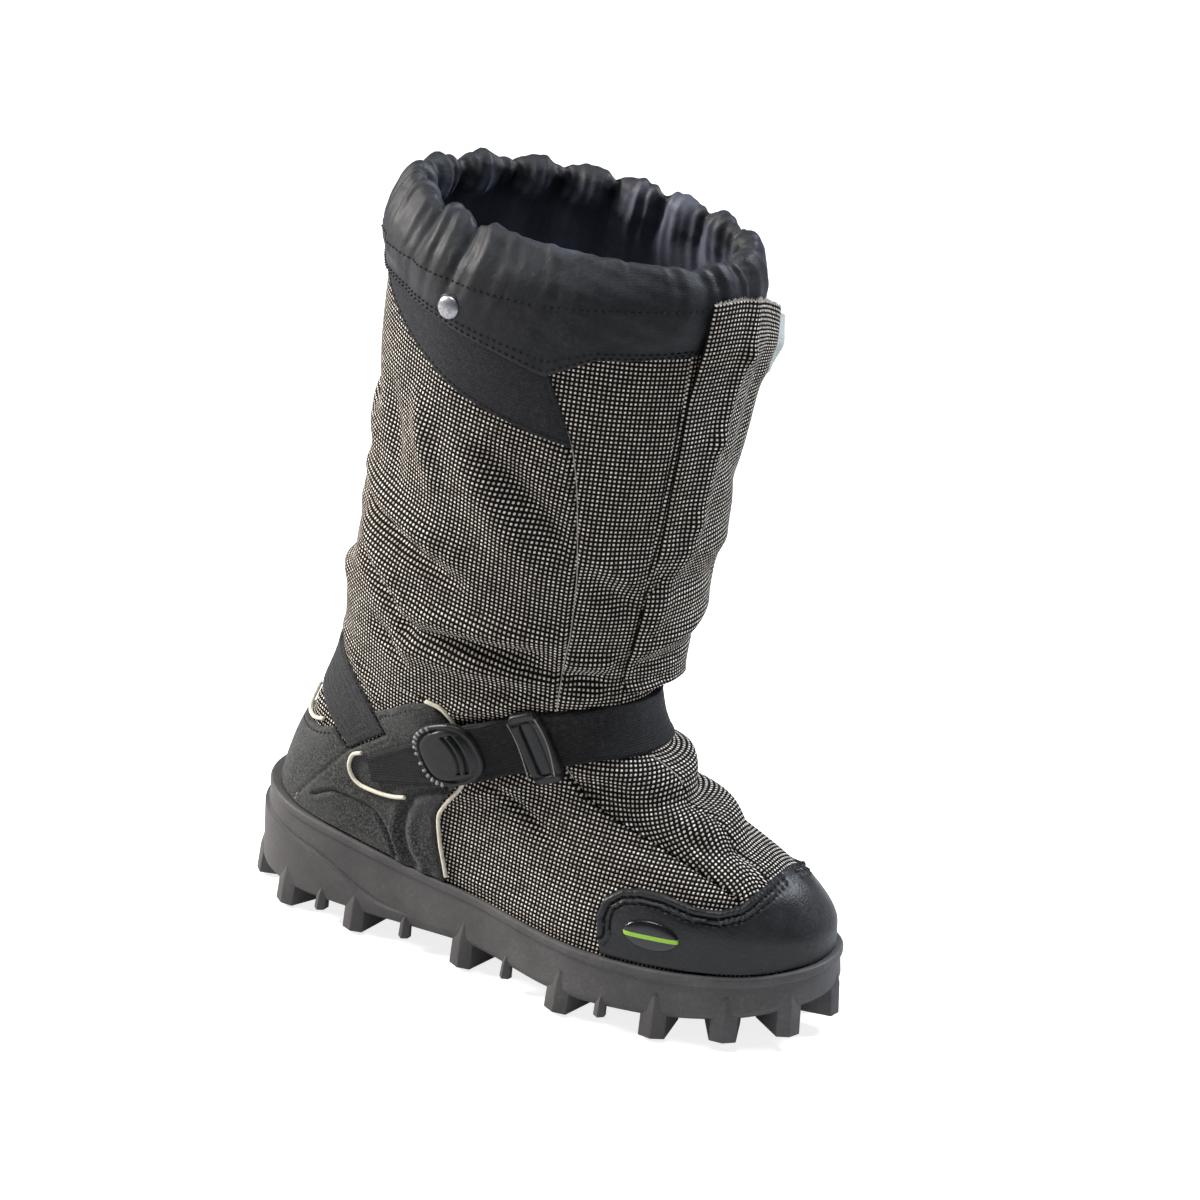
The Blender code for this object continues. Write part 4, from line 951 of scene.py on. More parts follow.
def flattened(grid, start):   # flat cloth places of a grid of points, rolled out from one row
    rows, columns = grid.shape[:2]
    flat = np.zeros((rows, columns, 2))
    spans = np.linalg.norm(np.diff(grid, axis=1), axis=2)
    middle = columns // 2
    flat[start, 1:, 0] = np.cumsum(spans[start])
    flat[start] -= flat[start, middle]
    for way in (1, -1):
        i = start
        while 0 <= i + way < rows:
            along = np.gradient(grid[i], axis=0)
            along /= np.linalg.norm(along, axis=1, keepdims=True)
            turned = np.gradient(flat[i], axis=0)
            padded = np.pad(turned, ((6, 6), (0, 0)), mode="edge")
            turned = np.stack([np.convolve(padded[:, axis], np.ones(13) / 13, mode="valid")
                               for axis in (0, 1)], -1)
            turned /= np.linalg.norm(turned, axis=1, keepdims=True)
            step = grid[i + way] - grid[i]
            slide = (step * along).sum(axis=1)
            rise = way * np.linalg.norm(step - along * slide[:, None], axis=1)
            moved = flat[i] + turned * slide[:, None] + turned[:, ::-1] * (-1, 1) * rise[:, None]
            pieces = np.diff(moved, axis=0)
            pieces *= (spans[i + way] / np.maximum(np.linalg.norm(pieces, axis=1), 1e-6))[:, None] ** 0.6
            fresh = np.concatenate([np.zeros((1, 2)), np.cumsum(pieces, axis=0)])
            flat[i + way] = fresh - fresh[middle] + moved[middle]
            i += way
    return flat


def rolledCloth(plain, levels, starts):   # flat places of the corners of every face, panel by panel
    rows, columns = plain.shape[:2]
    cloth = np.empty((rows - 1, columns, 4, 2))

    def nearestRow(level):
        return int(np.abs(levels - level).argmin())
    ankle = nearestRow(upperLook["ankle"])
    for number in range(4):
        first, last = starts[number], starts[number + 1]
        picked = np.arange(first, last + 1) % columns
        lower = flattened(plain[:, picked], nearestRow(upperLook["lowRow"][number]))
        upper = flattened(plain[:, picked], nearestRow(upperLook["highRow"]))
        tilt = math.radians(upperLook["clothTilt"][number])
        upper = np.stack([upper[..., 0] * math.cos(tilt) - upper[..., 1] * math.sin(tilt),
                          upper[..., 0] * math.sin(tilt) + upper[..., 1] * math.cos(tilt)], axis=-1)
        for corner, (di, dj) in enumerate(quadCorners):
            for flat, part in ((lower, slice(0, ankle)), (upper, slice(ankle, rows - 1))):
                shifted = flat[di:rows - 1 + di, dj:len(picked) - 1 + dj]
                cloth[part, first:last, corner] = shifted[part]
    return cloth.reshape(-1, 2)


def makeSeamHighlights(points, out, seams):   # painted highlight: a pale strip along the lapped edge beside each seam
    edges = Batch()
    x, z = points[..., 0], points[..., 2]
    free = (insideDistance(x, z, outlines["ankleStrap"]) < -0.5) & (z < hemHeight(x) - 1.5)
    free &= (z > 118) | (x < 128)
    for number, seam in enumerate(seams):
        shown = free[:, seam + 1] & ((number != 1) | (z[:, seam + 1] < 150))
        for a, b in np.flatnonzero(np.diff(np.concatenate([[0], shown, [0]]))).reshape(-1, 2):
            if b - a > 6:
                edges.add(*sweepTube(points[a:b, seam + 1] + 0.1 * out[a:b, seam + 1], 0.3, 6, 0.7,
                                     out[a:b, seam + 1]))
    edges.make("seam_highlights", "paleThreadAndHighlight", "dotted_fabric")


def makeUpper():
    rows = upperLook["rows"]
    levels = np.linspace(*upperLook["levels"], rows)
    seams = [np.interp(levels, formLevels, shares) for shares in seamShares()]
    ends = [np.zeros(rows)] + seams + [np.ones(rows)]
    parts = []
    for number, columns in enumerate(upperLook["panelColumns"]):
        t = np.linspace(0, 1, columns + 1)[:-1]
        t = t - 0.10 * np.sin(2 * math.pi * t)
        parts.append(ends[number][:, None] * (1 - t) + ends[number + 1][:, None] * t)
    share = np.concatenate(parts, axis=1)
    level = np.repeat(levels[:, None], share.shape[1], axis=1)
    plain, out = onForm(level, share)
    shift = clothShift(plain, share)
    columns = share.shape[1]
    starts = np.concatenate([[0], np.cumsum(upperLook["panelColumns"])])
    around = np.linalg.norm(np.diff(plain, axis=1, append=plain[:, :1]), axis=2)
    run = np.cumsum(around, axis=1)
    x, z = plain[..., 0], plain[..., 2]
    visible = 1 - ease(z - hemHeight(x), -6.0, 0.0)
    clear = ease(-insideDistance(x, z, outlines["ankleStrap"]), 0, 2)
    for number, seam in enumerate(starts[1:4]):   # the seams are folded in, with a lap beside
        away = run - run[:, seam:seam + 1]
        away += around[:, seam:seam + 1]
        dip = upperLook["seamDepth"][number] * np.exp(-(away / upperLook["seamWidth"]) ** 2)
        dip *= 1 + 0.7 * (1 - ease(z, 98, 118))   # deeper over the instep
        lap = 0.55 * bump(away, -2.6 if number == 0 else 2.6, 1.6)
        shift += (lap - dip) * visible * clear
    points = plain + out * shift[..., None]
    makeSeamHighlights(points, out, starts[1:4])
    makePiece("upper_cloth", points.reshape(-1, 3), gridFaces(rows, columns, wrap=True), "dotted",
              ("upper",), rolledCloth(plain, levels, starts))


makeUpper()
print("upper cloth made")


liningLook = {"levels": (-0.05, 0.97, 90), "columns": 160, "sunk": 0.6, "cloth": (440, 320)}


def makeLining():
    levels = np.linspace(*liningLook["levels"])
    shares = np.linspace(0, 1, liningLook["columns"], endpoint=False)
    level, share = np.meshgrid(levels, shares, indexing="ij")
    turn = 2 * math.pi * share
    soft = -shoe["wall"] - liningLook["sunk"] + 0.3 * np.sin(9 * turn + level * 20) * np.sin(level * 31)
    soft += np.minimum(clothShift(onForm(level, share)[0], share), 0)
    points, _ = onForm(level, share, soft)
    faces = [face[::-1] for face in gridFaces(*level.shape, wrap=True)]
    wide, tall = liningLook["cloth"]
    cloth = np.stack([share * wide, level * tall], axis=-1).reshape(-1, 2)
    makePiece("shaft_lining", points.reshape(-1, 3), faces, "lining", (), cloth)


makeLining()


# Collar

collarLook = {
    "rows": 64,
    "columns": 560,
    "leg": 1.5,
    "names": ("back_x", "back_z", "front_x", "front_z", "half_out", "half_in", "gather"),
    "sections": (
        (53.5, 371, 245, 360, 75, 75, 0.5), (56.0, 382, 246, 371, 73, 74, 1.0),
        (61.0, 393, 244, 381, 65.5, 69, 1.5), (67.0, 399, 239, 387, 59.5, 64, 1.8),
        (72.5, 394, 233, 383, 55, 59, 2.0), (71.5, 384, 233, 373, 57, 60, 1.9),
        (64.5, 371, 235, 361, 63.5, 65, 1.2),
    ),
    "insideDepth": (338, 300),
    "stitchRows": (4.2, 6.4), "casingRow": 15.5,
    # single gathers: share round the rim, half width in shares, height of the fold
    "folds": ((.045, .010, 2.2), (.082, .008, -2.6), (.112, .012, 2.4), (.150, .008, -2.8),
              (.178, .014, 1.9), (.208, .007, -2.2), (.236, .016, 1.0), (.440, .012, -0.8),
              (.470, .010, 1.4), (.500, .008, -1.8), (.528, .012, 2.0), (.560, .008, -2.2),
              (.590, .014, 2.2), (.618, .007, -2.4), (.648, .012, 2.4), (.676, .008, -2.6),
              (.705, .013, 2.2), (.735, .008, -2.6), (.762, .011, 2.4), (.792, .008, -2.2),
              (.822, .013, 2.2), (.850, .007, -2.6), (.880, .012, 2.2), (.908, .008, -2.4),
              (.940, .012, 2.2), (.968, .008, -2.2), (.995, .013, 1.8)),
}


def collarRing(row):
    section = dict(zip(collarLook["names"], row))
    whole = {"round_back": .50, "round_front": .50, "swing": 2}
    for part in ("heel", "waist", "ball"):
        for side in ("out", "in"):
            whole[f"{part}_{side}"] = section[f"half_{side}"] * (1.0 if part == "waist" else 0.97)
    for name in ("back_x", "back_z", "front_x", "front_z"):
        whole[name] = section[name]
    return sectionLoop(whole, collarLook["columns"])


def ringOnForm(heights, grow):
    share = np.arange(collarLook["columns"]) / collarLook["columns"]
    return onForm(levelAtHeight(share, heights), share, np.full(len(share), float(grow)))[0]


def collarRings(share):   # from the hem over the rim and down inside, and how far each is gathered
    topX = form[-20, np.round(share * shoe["formCount"]).astype(int) % shoe["formCount"], 0]
    hem = hemHeight(topX)
    lift = 0.4 + collarLook["leg"]
    top = np.interp(topX, (58, 240), (366, 355))
    rings = [ringOnForm(hem, 0.2), ringOnForm(hem, lift), ringOnForm(hem * 0.5 + top * 0.5, lift + 0.3)]
    rings += [collarRing(row) for row in collarLook["sections"]]
    rings += [ringOnForm(np.full(len(share), z), -shoe["wall"] - 1.0) for z in collarLook["insideDepth"]]
    return np.array(rings), [0, .10, .25] + [row[-1] for row in collarLook["sections"]] + [0.6, 0.0]


def gatherWave(share):   # height of the gathers round the rim
    wave = np.zeros(len(share))
    for middle, half, rise in collarLook["folds"]:
        away = (share - middle + 0.5) % 1 - 0.5
        wave += rise * np.exp(-(away / half) ** 2)
    turn = 2 * math.pi * share
    calm = 1 - 0.72 * ease(share, .20, .26) * (1 - ease(share, .43, .47))
    return wave + calm * (0.5 * np.sin(31 * turn + 0.7) + 0.45 * np.sin(47 * turn + 2.1)
                          + 0.3 * np.sin(73 * turn + 4.0))


def makeCollar():
    count = collarLook["columns"]
    share = np.arange(count) / count
    rings, gathers = collarRings(share)
    knots = np.arange(len(rings))
    stops = np.interp(np.linspace(0, 1, collarLook["rows"]), (0, .04, 1), (0, 1, len(rings) - 1))
    low = np.clip(stops.astype(int), 0, len(rings) - 2)
    t = (stops - low)[:, None, None]
    before, after = rings[np.clip(low - 1, 0, None)], rings[np.clip(low + 2, None, len(rings) - 1)]
    a, b = rings[low], rings[low + 1]
    points = 0.5 * (2 * a + (b - before) * t + (2 * before - 5 * a + 4 * b - after) * t ** 2
                    + (3 * a - before - 3 * b + after) * t ** 3)
    points[stops <= 1] = a[stops <= 1] * (1 - t[stops <= 1]) + b[stops <= 1] * t[stops <= 1]
    size = np.interp(stops, knots, gathers)[:, None]
    wave, turn = gatherWave(share), 2 * math.pi * share
    out = gridNormals(points)
    sway = np.sin(stops * 1.1 + 0.4)[:, None] * 0.006    # the folds lean as they run down
    shifted = np.stack([np.interp((share + lean) % 1, share, wave, period=1) for lean in sway[:, 0]])
    fine = 0.22 * np.sin(19 * turn[None] + stops[:, None] * 3.1) * np.sin(stops[:, None] * 5.0)
    calmer = 0.85 - 0.30 * ease(share, .48, .56) * (1 - ease(share, .93, .98))
    points = points + out * (calmer * shifted * size + fine * (size > 0.3))[..., None]
    along = np.cumsum(np.linalg.norm(np.diff(points, axis=0, prepend=points[:1]), axis=2), axis=0)
    quads = gridFaces(len(stops), count, wrap=True)
    cloth = np.empty((len(stops) - 1, count, 4, 2))
    for corner, (di, dj) in enumerate(quadCorners):
        cloth[..., corner, 0] = (np.arange(count) + dj)[None] * 450 / count
        cloth[..., corner, 1] = np.roll(along, -dj, axis=1)[di:len(stops) - 1 + di]
    makePiece("collar_cloth", points.reshape(-1, 3), quads, "nylon", ("collar",),
              cloth.reshape(-1, 2), 75)
    return points


collarPoints = makeCollar()
print("collar made")


def collarLine(row, first, last, lift=0.15):   # a line on the outer collar between two shares
    count = collarLook["columns"]
    picks = np.arange(int(first * count), int(last * count)) % count
    rows = row(picks / count) if callable(row) else np.full(len(picks), float(row))
    low = rows.astype(int)
    t = (rows - low)[:, None]
    points = collarPoints[low, picks] * (1 - t) + collarPoints[low + 1, picks] * t
    out = gridNormals(collarPoints)[low, picks]
    return points + out * lift, out


def stitchCollar():
    batch = Batch()
    casing = collarLook["casingRow"]

    def risingRow(share):   # near the flap the casing's row moves up to the rim
        return casing + 4.0 * np.sin((share - .30) / .15 * math.pi / 2)
    for row in collarLook["stitchRows"]:
        stitchRow(batch, *collarLine(row, 0.0, 0.995))
    for row, first, last in ((casing, 0.02, 0.30), (risingRow, 0.30, 0.45), (casing, 0.50, 0.99)):
        stitchRow(batch, *collarLine(row, first, last))
    batch.make("collar_stitches", "thread", "collar_nylon")


stitchCollar()


# Toe cap and its badge

capLook = {
    "levels": (-0.01, 0.25, 66), "shares": (0.27, 0.73, 380),
    "bead": (1.9, 1.5, 0.9), "groove": (4.2, 0.65, 1.4), "swell": (5.8, 1.0, 0.5),
    "secondGroove": (7.3, 0.6, 1.2),
    "stitches": (4.2, 7.3),
    "badge": (250, 54, 27, 15), "badgeTilt": math.radians(-4),
}


def overCap(over, points, out):
    top = trueDistance(lineDistance(points[..., 0], points[..., 2], lines["capEdge"]), points)
    rise = 0.3 + shoe["overlay"] * edgeRound(over, 1.3)
    for name, sign in (("bead", 1), ("groove", -1), ("swell", 1), ("secondGroove", -1)):
        middle, width, size = capLook[name]
        rise += sign * size * bump(top, middle, width)
    return rise


trimmedPiece("toe_cap_rubber", np.linspace(*capLook["levels"]), np.linspace(*capLook["shares"]),
             outlines["cap"], 0.3, overCap, "cap", "cap_rubber", ("toe_cap",))


def insetLine(marks, inset):   # a run of marks moved to its right side
    line = smoothLine(marks, 1.5)
    along = np.gradient(line, axis=0)
    along /= np.linalg.norm(along, axis=1, keepdims=True)
    return line + np.stack([along[:, 1], -along[:, 0]], axis=-1) * inset


def stitchCap():
    batch = Batch()
    for inset in capLook["stitches"]:
        for side in (-1, 1):
            marks = insetLine(lines["capEdge"][:-1], inset)
            points, outs = lineOnForm(marks, side, 2.0)
            stitchRow(batch, points, outs, 2.3, 1.3, 0.34)
    batch.make("toe_cap_stitches", "thread", "cap_rubber")


stitchCap()


def makeBadge():
    outline = turnedEllipse(capLook["badge"], capLook["badgeTilt"], 64)
    levels, shares = patchGrid(outline, -1, 0.5)
    base = 0.3 + shoe["overlay"] + 0.1

    def domed(over, points, out):
        return base + 0.7 * edgeRound(over, 0.7) + 0.9 * edgeRound(over, 6.0)
    trimmedPiece("badge", levels, shares, outline, base, domed, "badge", "badge_gloss",
                 ("toe_badge",))


makeBadge()
print("toe cap made")


# Heel counter

counterLook = {
    "levels": (-0.01, 0.49, 116), "shares": (-0.335, 0.335, 400),
    "relief": ((49, 67), (62, 73), (86, 71), (95, 63), (102, 50)),
    "hollow": ((129, 98), (112, 89), (106, 77), (105, 68), (108, 55), (113, 49)),
    "layer": ((67.5, 97.6), (36, 61)),
    "topStitches": ((91.8, 115), (83.5, 124.5), (95, 131), (108, 139), (117, 142), (124, 141),
                    (131, 136), (137.5, 124)),
    "backStitches": ((25, 98), (45, 101), (55.5, 105.5)),
    "stitchInsets": (5.4, 3.2, 3.0),   # front, top and back rows
    "marks": ((36, 60, 75), (118, 50, -70)),   # place and direction of each pale mark
}


def overCounter(over, points, out):
    x, z = points[..., 0], points[..., 2]
    rise = 0.3 + shoe["overlay"] * edgeRound(over, 1.5)
    rise -= 0.55 * bump(over, 3.2, 0.6)
    relief = lineDistance(x, z, smoothLine(counterLook["relief"], 3))
    hollow = lineDistance(x, z, smoothLine(counterLook["hollow"], 3))
    layer = lineDistance(x, z, counterLook["layer"])
    rise -= 1.5 * bump(relief, 0, 0.9) - 0.5 * bump(relief, 2.6, 1.6)
    rise -= 1.9 * bump(hollow, 0, 2.4) - 1.0 * bump(hollow, 5.6, 3.0)
    rise -= 0.8 * bump(layer, 0, 0.8)
    (ax, az), (bx, bz) = counterLook["layer"]
    ends = (x - ax) * (bz - az) - (z - az) * (bx - ax)   # which side of the layer's seam
    rise += 0.5 * ease(-ends / 48, 0.0, 2.0) * ease(x, 20, 40) * ease(over, 0.5, 3.0)
    return np.maximum(rise, 0.55)


trimmedPiece("counter_cloth", np.linspace(*counterLook["levels"]), np.linspace(*counterLook["shares"]),
             outlines["counter"], 0.3, overCounter, "suede", "counter_suede", ("heel_counter",))


def stitchCounter():
    batch, pale = Batch(), Batch()
    rows = (lines["counterPiping"][3:], counterLook["topStitches"], counterLook["backStitches"])
    for side in (-1, 1):
        for marks, inset in zip(rows, counterLook["stitchInsets"]):
            points, outs = lineOnForm(insetLine(marks, inset), side, 2.1)
            stitchRow(batch, points, outs, 2.2, 1.2, 0.32)
    for x, z, angle in counterLook["marks"]:
        turn = math.radians(angle)
        marks = [(x + k * math.cos(turn), z + k * math.sin(turn)) for k in (-2.6, 0, 2.6)]
        points, outs = lineOnForm(marks, -1, 2.35, 0.8)
        stitchRow(pale, points, outs, 2.2, 0.5, 0.3, 0.1)
    batch.make("counter_stitches", "thread", "counter_suede")
    pale.make("counter_marks", "paleThreadAndHighlight", "counter_suede")


stitchCounter()
print("heel counter made")


# Straps, pull tab and buckle

strapLook = {
    "high": 3.7, "low": 0.5, "settles": (147.0, 163.0),
    "ankle": ((0.17, 0.58, 104), (0.14, 0.86, 420)), "heel": ((0.24, 0.54, 84), (-0.24, 0.24, 300)),
    # place, length and width
    "pullTab": (133, 120, 36, 35), "buckle": (177, 134, 17, 40), "window": (177, 134, 6, 29),
    "plate": (177, 134, 7.4, 30.5),
    "plastic": 3.4, "pullTabPower": 2.6,
}


def strapLift(points):
    return strapLook["low"] + (strapLook["high"] - strapLook["low"]) * (
        1 - ease(points[..., 0], *strapLook["settles"]))


def onStrap(points, rise=0.1):   # how far a part on top of the ankle strap stands off the form
    return strapLift(points) + shoe["webbing"] + rise


def strapCloth(marks, perimeter=430.0):   # cloth places along and across a strap, in millimetres
    def places(points, over, level, share):
        return share * perimeter, lineDistance(points[..., 0], points[..., 2], marks)
    return places


def overAnkleStrap(over, points, out):
    fold = 0.35 * bump(over, 2.2, 1.2)
    return strapLift(points) + (shoe["webbing"] - 0.2) * edgeRound(over, 0.9) + fold


def overHeelStrap(over, points, out):
    ribs = 0.16 * np.cos(over * 2 * math.pi / 3.6) * ease(over, 1.0, 2.0)
    return 0.3 + (shoe["webbing"] - 0.15) * edgeRound(over, 0.8) + ribs


trimmedPiece("ankle_strap_cloth", *(np.linspace(*span) for span in strapLook["ankle"]),
             outlines["ankleStrap"], strapLift, overAnkleStrap, "strap", "webbing", ("ankle_strap",),
             strapCloth(lines["ankleLow"]))
trimmedPiece("heel_strap_cloth", *(np.linspace(*span) for span in strapLook["heel"]),
             outlines["heelStrap"], 0.3, overHeelStrap, "webbing", "webbing", ("heel_strap",),
             strapCloth(lines["heelStrapLow"]))


def makePullTab():
    place, tilt, power = strapLook["pullTab"], lines["strapAngle"], strapLook["pullTabPower"]
    outline = turnedEllipse(place, tilt, 96, power)
    levels, shares = patchGrid(outline, -1, 0.42)

    def shape(over, points, out):
        along, across = turnedPlace(points, place, tilt)
        reach = (np.abs(along / (place[2] / 2)) ** power
                 + np.abs(across / (place[3] / 2)) ** power) ** (1 / power)
        rise = onStrap(points) + strapLook["plastic"] * 0.72 * edgeRound(over, 1.6)
        left = ease(-along, -2.0, 2.0)
        rise += 1.1 * edgeRound(np.maximum(0.80 - reach, 0) * 17, 6.0) * (1 - 0.5 * bump(along, 9, 5))
        rise -= 1.5 * bump(reach, 0.82, 0.04) * (0.4 + 0.6 * left)
        for centre in (5.2, 9.6):
            arc = np.hypot(along - centre + 22, across) - 22
            rise -= 1.5 * bump(arc, 0, 0.9) * (np.abs(across) < 11)
            rise += 0.9 * bump(arc, 2.2, 1.0) * (np.abs(across) < 10.5)
        return rise
    trimmedPiece("pull_tab_plastic", levels, shares, outline, onStrap, shape, "plastic",
                 "black_plastic", ("pull_tab",), sharp=65)
    ticks = Batch()
    for angle in np.linspace(1.75, 4.25, 13):   # pale worn ribs round the rear half
        c, s = math.cos(angle), math.sin(angle)
        a = math.copysign(abs(c) ** (2 / power), c) * place[2] / 2
        b = math.copysign(abs(s) ** (2 / power), s) * place[3] / 2
        marks = [(place[0] + k * (a * math.cos(tilt) - b * math.sin(tilt)),
                  place[1] + k * (a * math.sin(tilt) + b * math.cos(tilt))) for k in (0.87, 0.92, 0.98)]
        points, outs = lineOnForm(marks, -1, 0.0, 1.0)
        points += outs * onStrap(points, 2.45)[:, None]
        ticks.add(*sweepTube(points, 0.85, 8, 0.8, outs))
    ticks.make("pull_tab_ribs", "ticks", "black_plastic")


makePullTab()


def makeBuckle():
    place, tilt = strapLook["buckle"], lines["strapAngle"]
    outline = turnedEllipse(place, tilt, 96, 5.0)
    window = turnedEllipse(strapLook["window"], tilt, 48, 6.0)
    levels, shares = patchGrid(outline, -1, 0.42)

    def shape(over, points, out):
        along, across = turnedPlace(points, place, tilt)
        rise = onStrap(points) + strapLook["plastic"] * 0.9 * edgeRound(over, 1.5)
        rise += 0.5 * bump(np.abs(along), 6.2, 1.0) - 0.8 * bump(np.abs(across), 15.0, 0.7)
        return rise
    trimmedPiece("buckle_plastic", levels, shares, outline, onStrap, shape, "plastic",
                 "black_plastic", ("buckle",), hole=window, sharp=50)
    plate = turnedEllipse(strapLook["plate"], tilt, 48, 6.0)

    def plateShape(over, points, out):
        return onStrap(points, 0.9) + 1.1 * edgeRound(over, 3.0)
    trimmedPiece("buckle_plate", *patchGrid(plate, -1, 0.6), plate, onStrap, plateShape, "plastic",
                 "black_plastic")
    highlightStrips = Batch()
    for along in (-7.2, 6.6):   # painted highlights: pale strips along the bent edges
        marks = [(place[0] + (along - 0.004 * (k - 8) ** 2) * math.cos(tilt) - k * math.sin(tilt),
                  place[1] + (along - 0.004 * (k - 8) ** 2) * math.sin(tilt) + k * math.cos(tilt))
                 for k in np.linspace(-15.5, 16.5, 7)]
        points, outs = lineOnForm(marks, -1, 0.0, 1.5)
        points += outs * onStrap(points, 3.5)[:, None]
        highlightStrips.add(*sweepTube(points, 0.32, 8, 1.0, outs))
    highlightStrips.make("buckle_highlight_strips", "ticks", "black_plastic")


makeBuckle()
print("straps made")


# Side panel under the collar, and the pale pipings

panelLook = {"levels": (0.78, 1.0, 130), "shares": (0.10, 0.42, 230), "stitchInset": -2.4}
pipingLook = {"radius": 1.05, "sides": 14, "spacing": 1.2, "sits": 1.1}


def makePanel():
    def rise(over, points, out):
        return 0.3 + 0.8 * edgeRound(over, 0.7) - 0.35 * bump(over, 2.4, 0.5)
    levels, shares = np.linspace(*panelLook["levels"]), np.linspace(*panelLook["shares"])
    trimmedPiece("side_panel_cloth", levels, shares, outlines["panel"], 0.3, rise, "plain",
                 "plain_fabric", ("side_panel",),
                 lambda points, over, level, share: (share * 440, level * 230))
    batch = Batch()
    points, outs = lineOnForm(insetLine(lines["panelLow"][:-1], panelLook["stitchInset"]), -1, 1.0)
    stitchRow(batch, points, outs, 2.2, 1.0, 0.3)
    batch.make("side_panel_stitches", "thread", "plain_fabric")


makePanel()


def makePipings():
    sides, spacing, sits = pipingLook["sides"], pipingLook["spacing"], pipingLook["sits"]
    onUpper, onCounter = 0.7 + sits, 0.7 + 0.3 + shoe["overlay"] + sits
    for side, word in ((-1, "lateral"), (1, "medial")):
        for name, marks, grow in (("heel", "heelPiping", onUpper), ("slot", "slotPiping", onCounter),
                                  ("counter", "counterPiping", onUpper)):
            points, outs = lineOnForm(lines[marks], side, grow, spacing)
            vertices, faces = sweepTube(points, pipingLook["radius"], sides, 1.0, outs)
            run = np.repeat(np.arange(len(points)) * spacing, sides)
            around = np.tile(np.arange(sides) * 0.5, len(points))
            makePiece(f"cream_{name}_{word}", vertices, faces, "cream",
                      (f"piping_{name}_{word}",), np.stack([run, around], axis=-1))


makePipings()
print("panel and pipings made")


# Outsole

soleLook = {
    "count": 320,
    "step": 1.8, "stepEnd": (92.0, 118.0), "stepSlope": 1.4, "beadProud": 1.2, "beadHeight": 4.2,
    # lugs and ribs: place, width, depth, rise and whether it has a stud
    "lugs": (
        (1, -26, 17, 20, 15, 0), (38, -41, 17, 22, 16, 1), (81, -47, 16, 20, 15, 1),
        (145, -59, 17, 20, 14, 0), (207, -66, 18, 22, 14, 1), (262, -56, 18, 22, 14, 1),
        (291, -31, 18, 20, 14, 1), (312, -7, 17, 20, 13, 1), (323, 24, 16, 18, 12, 0),
        (4, 14, 16, 18, 14, 0), (25, 42, 17, 22, 16, 1), (68, 47, 16, 20, 15, 1),
        (118, 43, 16, 18, 13, 0), (172, 46, 17, 20, 14, 0), (212, 58, 18, 22, 14, 1),
        (254, 66, 18, 22, 14, 1), (289, 63, 18, 20, 13, 1), (312, 48, 16, 18, 12, 0),
    ),
    "ribs": (
        (60, -46, 8, 6, 9, 0), (111, -51, 8, 6, 9, 0), (172, -62, 8, 6, 9, 0),
        (234, -63, 8, 6, 9, 0), (47, 47, 8, 6, 9, 0), (94, 46, 8, 6, 9, 0),
        (145, 43, 8, 6, 9, 0), (192, 52, 8, 6, 9, 0), (233, 64, 8, 6, 9, 0),
    ),
    "ribLift": 5.0, "taper": 0.75, "out": 0.6, "sink": 2.5, "shoulder": 3.0,
    "ridgeOut": (2.8, 1.4, -1.2), "ridgeShoulder": 4.0, "blockTaper": (0.8, 0.85),
    "blocks": (   # place, length, width and whether it has a stud
        (55, 0, 24, 20, 0), (88, 2, 20, 22, 0), (168, -4, 20, 24, 0), (200, 2, 20, 26, 0),
        (232, 4, 20, 28, 1), (264, 12, 20, 26, 0), (290, 18, 16, 22, 0),
    ),
    "bevel": 0.4,
    "studRadius": 4.0, "studTip": 2.6, "studDrop": 2.0, "gap": 0.6,
}


def namedLoop(name, count):
    return sectionLoop(dict(zip(shoe["columns"], shoe[name])), count)


baseLine = namedLoop("base", 1600)
baseOut = planNormals(baseLine)


def edgePlace(x, y):
    nearest = int(((baseLine[:, 0] - x) ** 2 + (baseLine[:, 1] - y) ** 2).argmin())
    outward = baseOut[nearest]
    return baseLine[nearest] * (1, 1, 0), outward, np.array([-outward[1], outward[0], 0.0])


def lugShapes(x, y, width, depth, rise, lift=0.0):
    place, outward, forward = edgePlace(x, y)
    inner = place - outward * depth
    tread = float(soleHeight("tread", max(inner[0], 0.0))) + lift
    base = float(soleHeight("base", place[0]))
    innerBase = min(base, float(soleHeight("base", inner[0])))
    proud = soleLook["step"] * (1 - float(ease(place[0], *soleLook["stepEnd"])))
    sink, shoulder = soleLook["sink"], (0, 0, base + soleLook["shoulder"])
    block, ridge = [], []
    for side in (-1, 1):
        across = forward * side * width / 2
        edge = place + across * soleLook["taper"]
        low = edge + outward * (proud + soleLook["out"]) + (0, 0, tread)
        block += [inner + across + (0, 0, tread), inner + across + (0, 0, innerBase + sink),
                  low, edge - outward * sink / 2 + shoulder]
        ridge += [low, edge - outward * sink + (0, 0, tread),
                  edge + outward * (proud - 1.0) + shoulder, edge - outward * sink + shoulder]
    keel, crest, tip = soleLook["ridgeOut"]
    ridge += [place + outward * (proud + keel) + (0, 0, tread),
              place + outward * (proud + crest) + (0, 0, base + soleLook["ridgeShoulder"]),
              place + outward * (proud + tip) + (0, 0, base + rise),
              place - outward * sink + (0, 0, base + rise - soleLook["ridgeShoulder"])]
    return block, ridge


def blockShape(x, y, length, width):
    tread, base = float(soleHeight("tread", x)), float(soleHeight("base", x))
    points = []
    for dx in (-0.5, 0.5):
        for dy in (-0.5, 0.5):
            points.append((x + dx * length * soleLook["blockTaper"][0],
                           y + dy * width * soleLook["blockTaper"][1], tread))
            points.append((x + dx * length, y + dy * width, base + soleLook["shoulder"]))
    return points


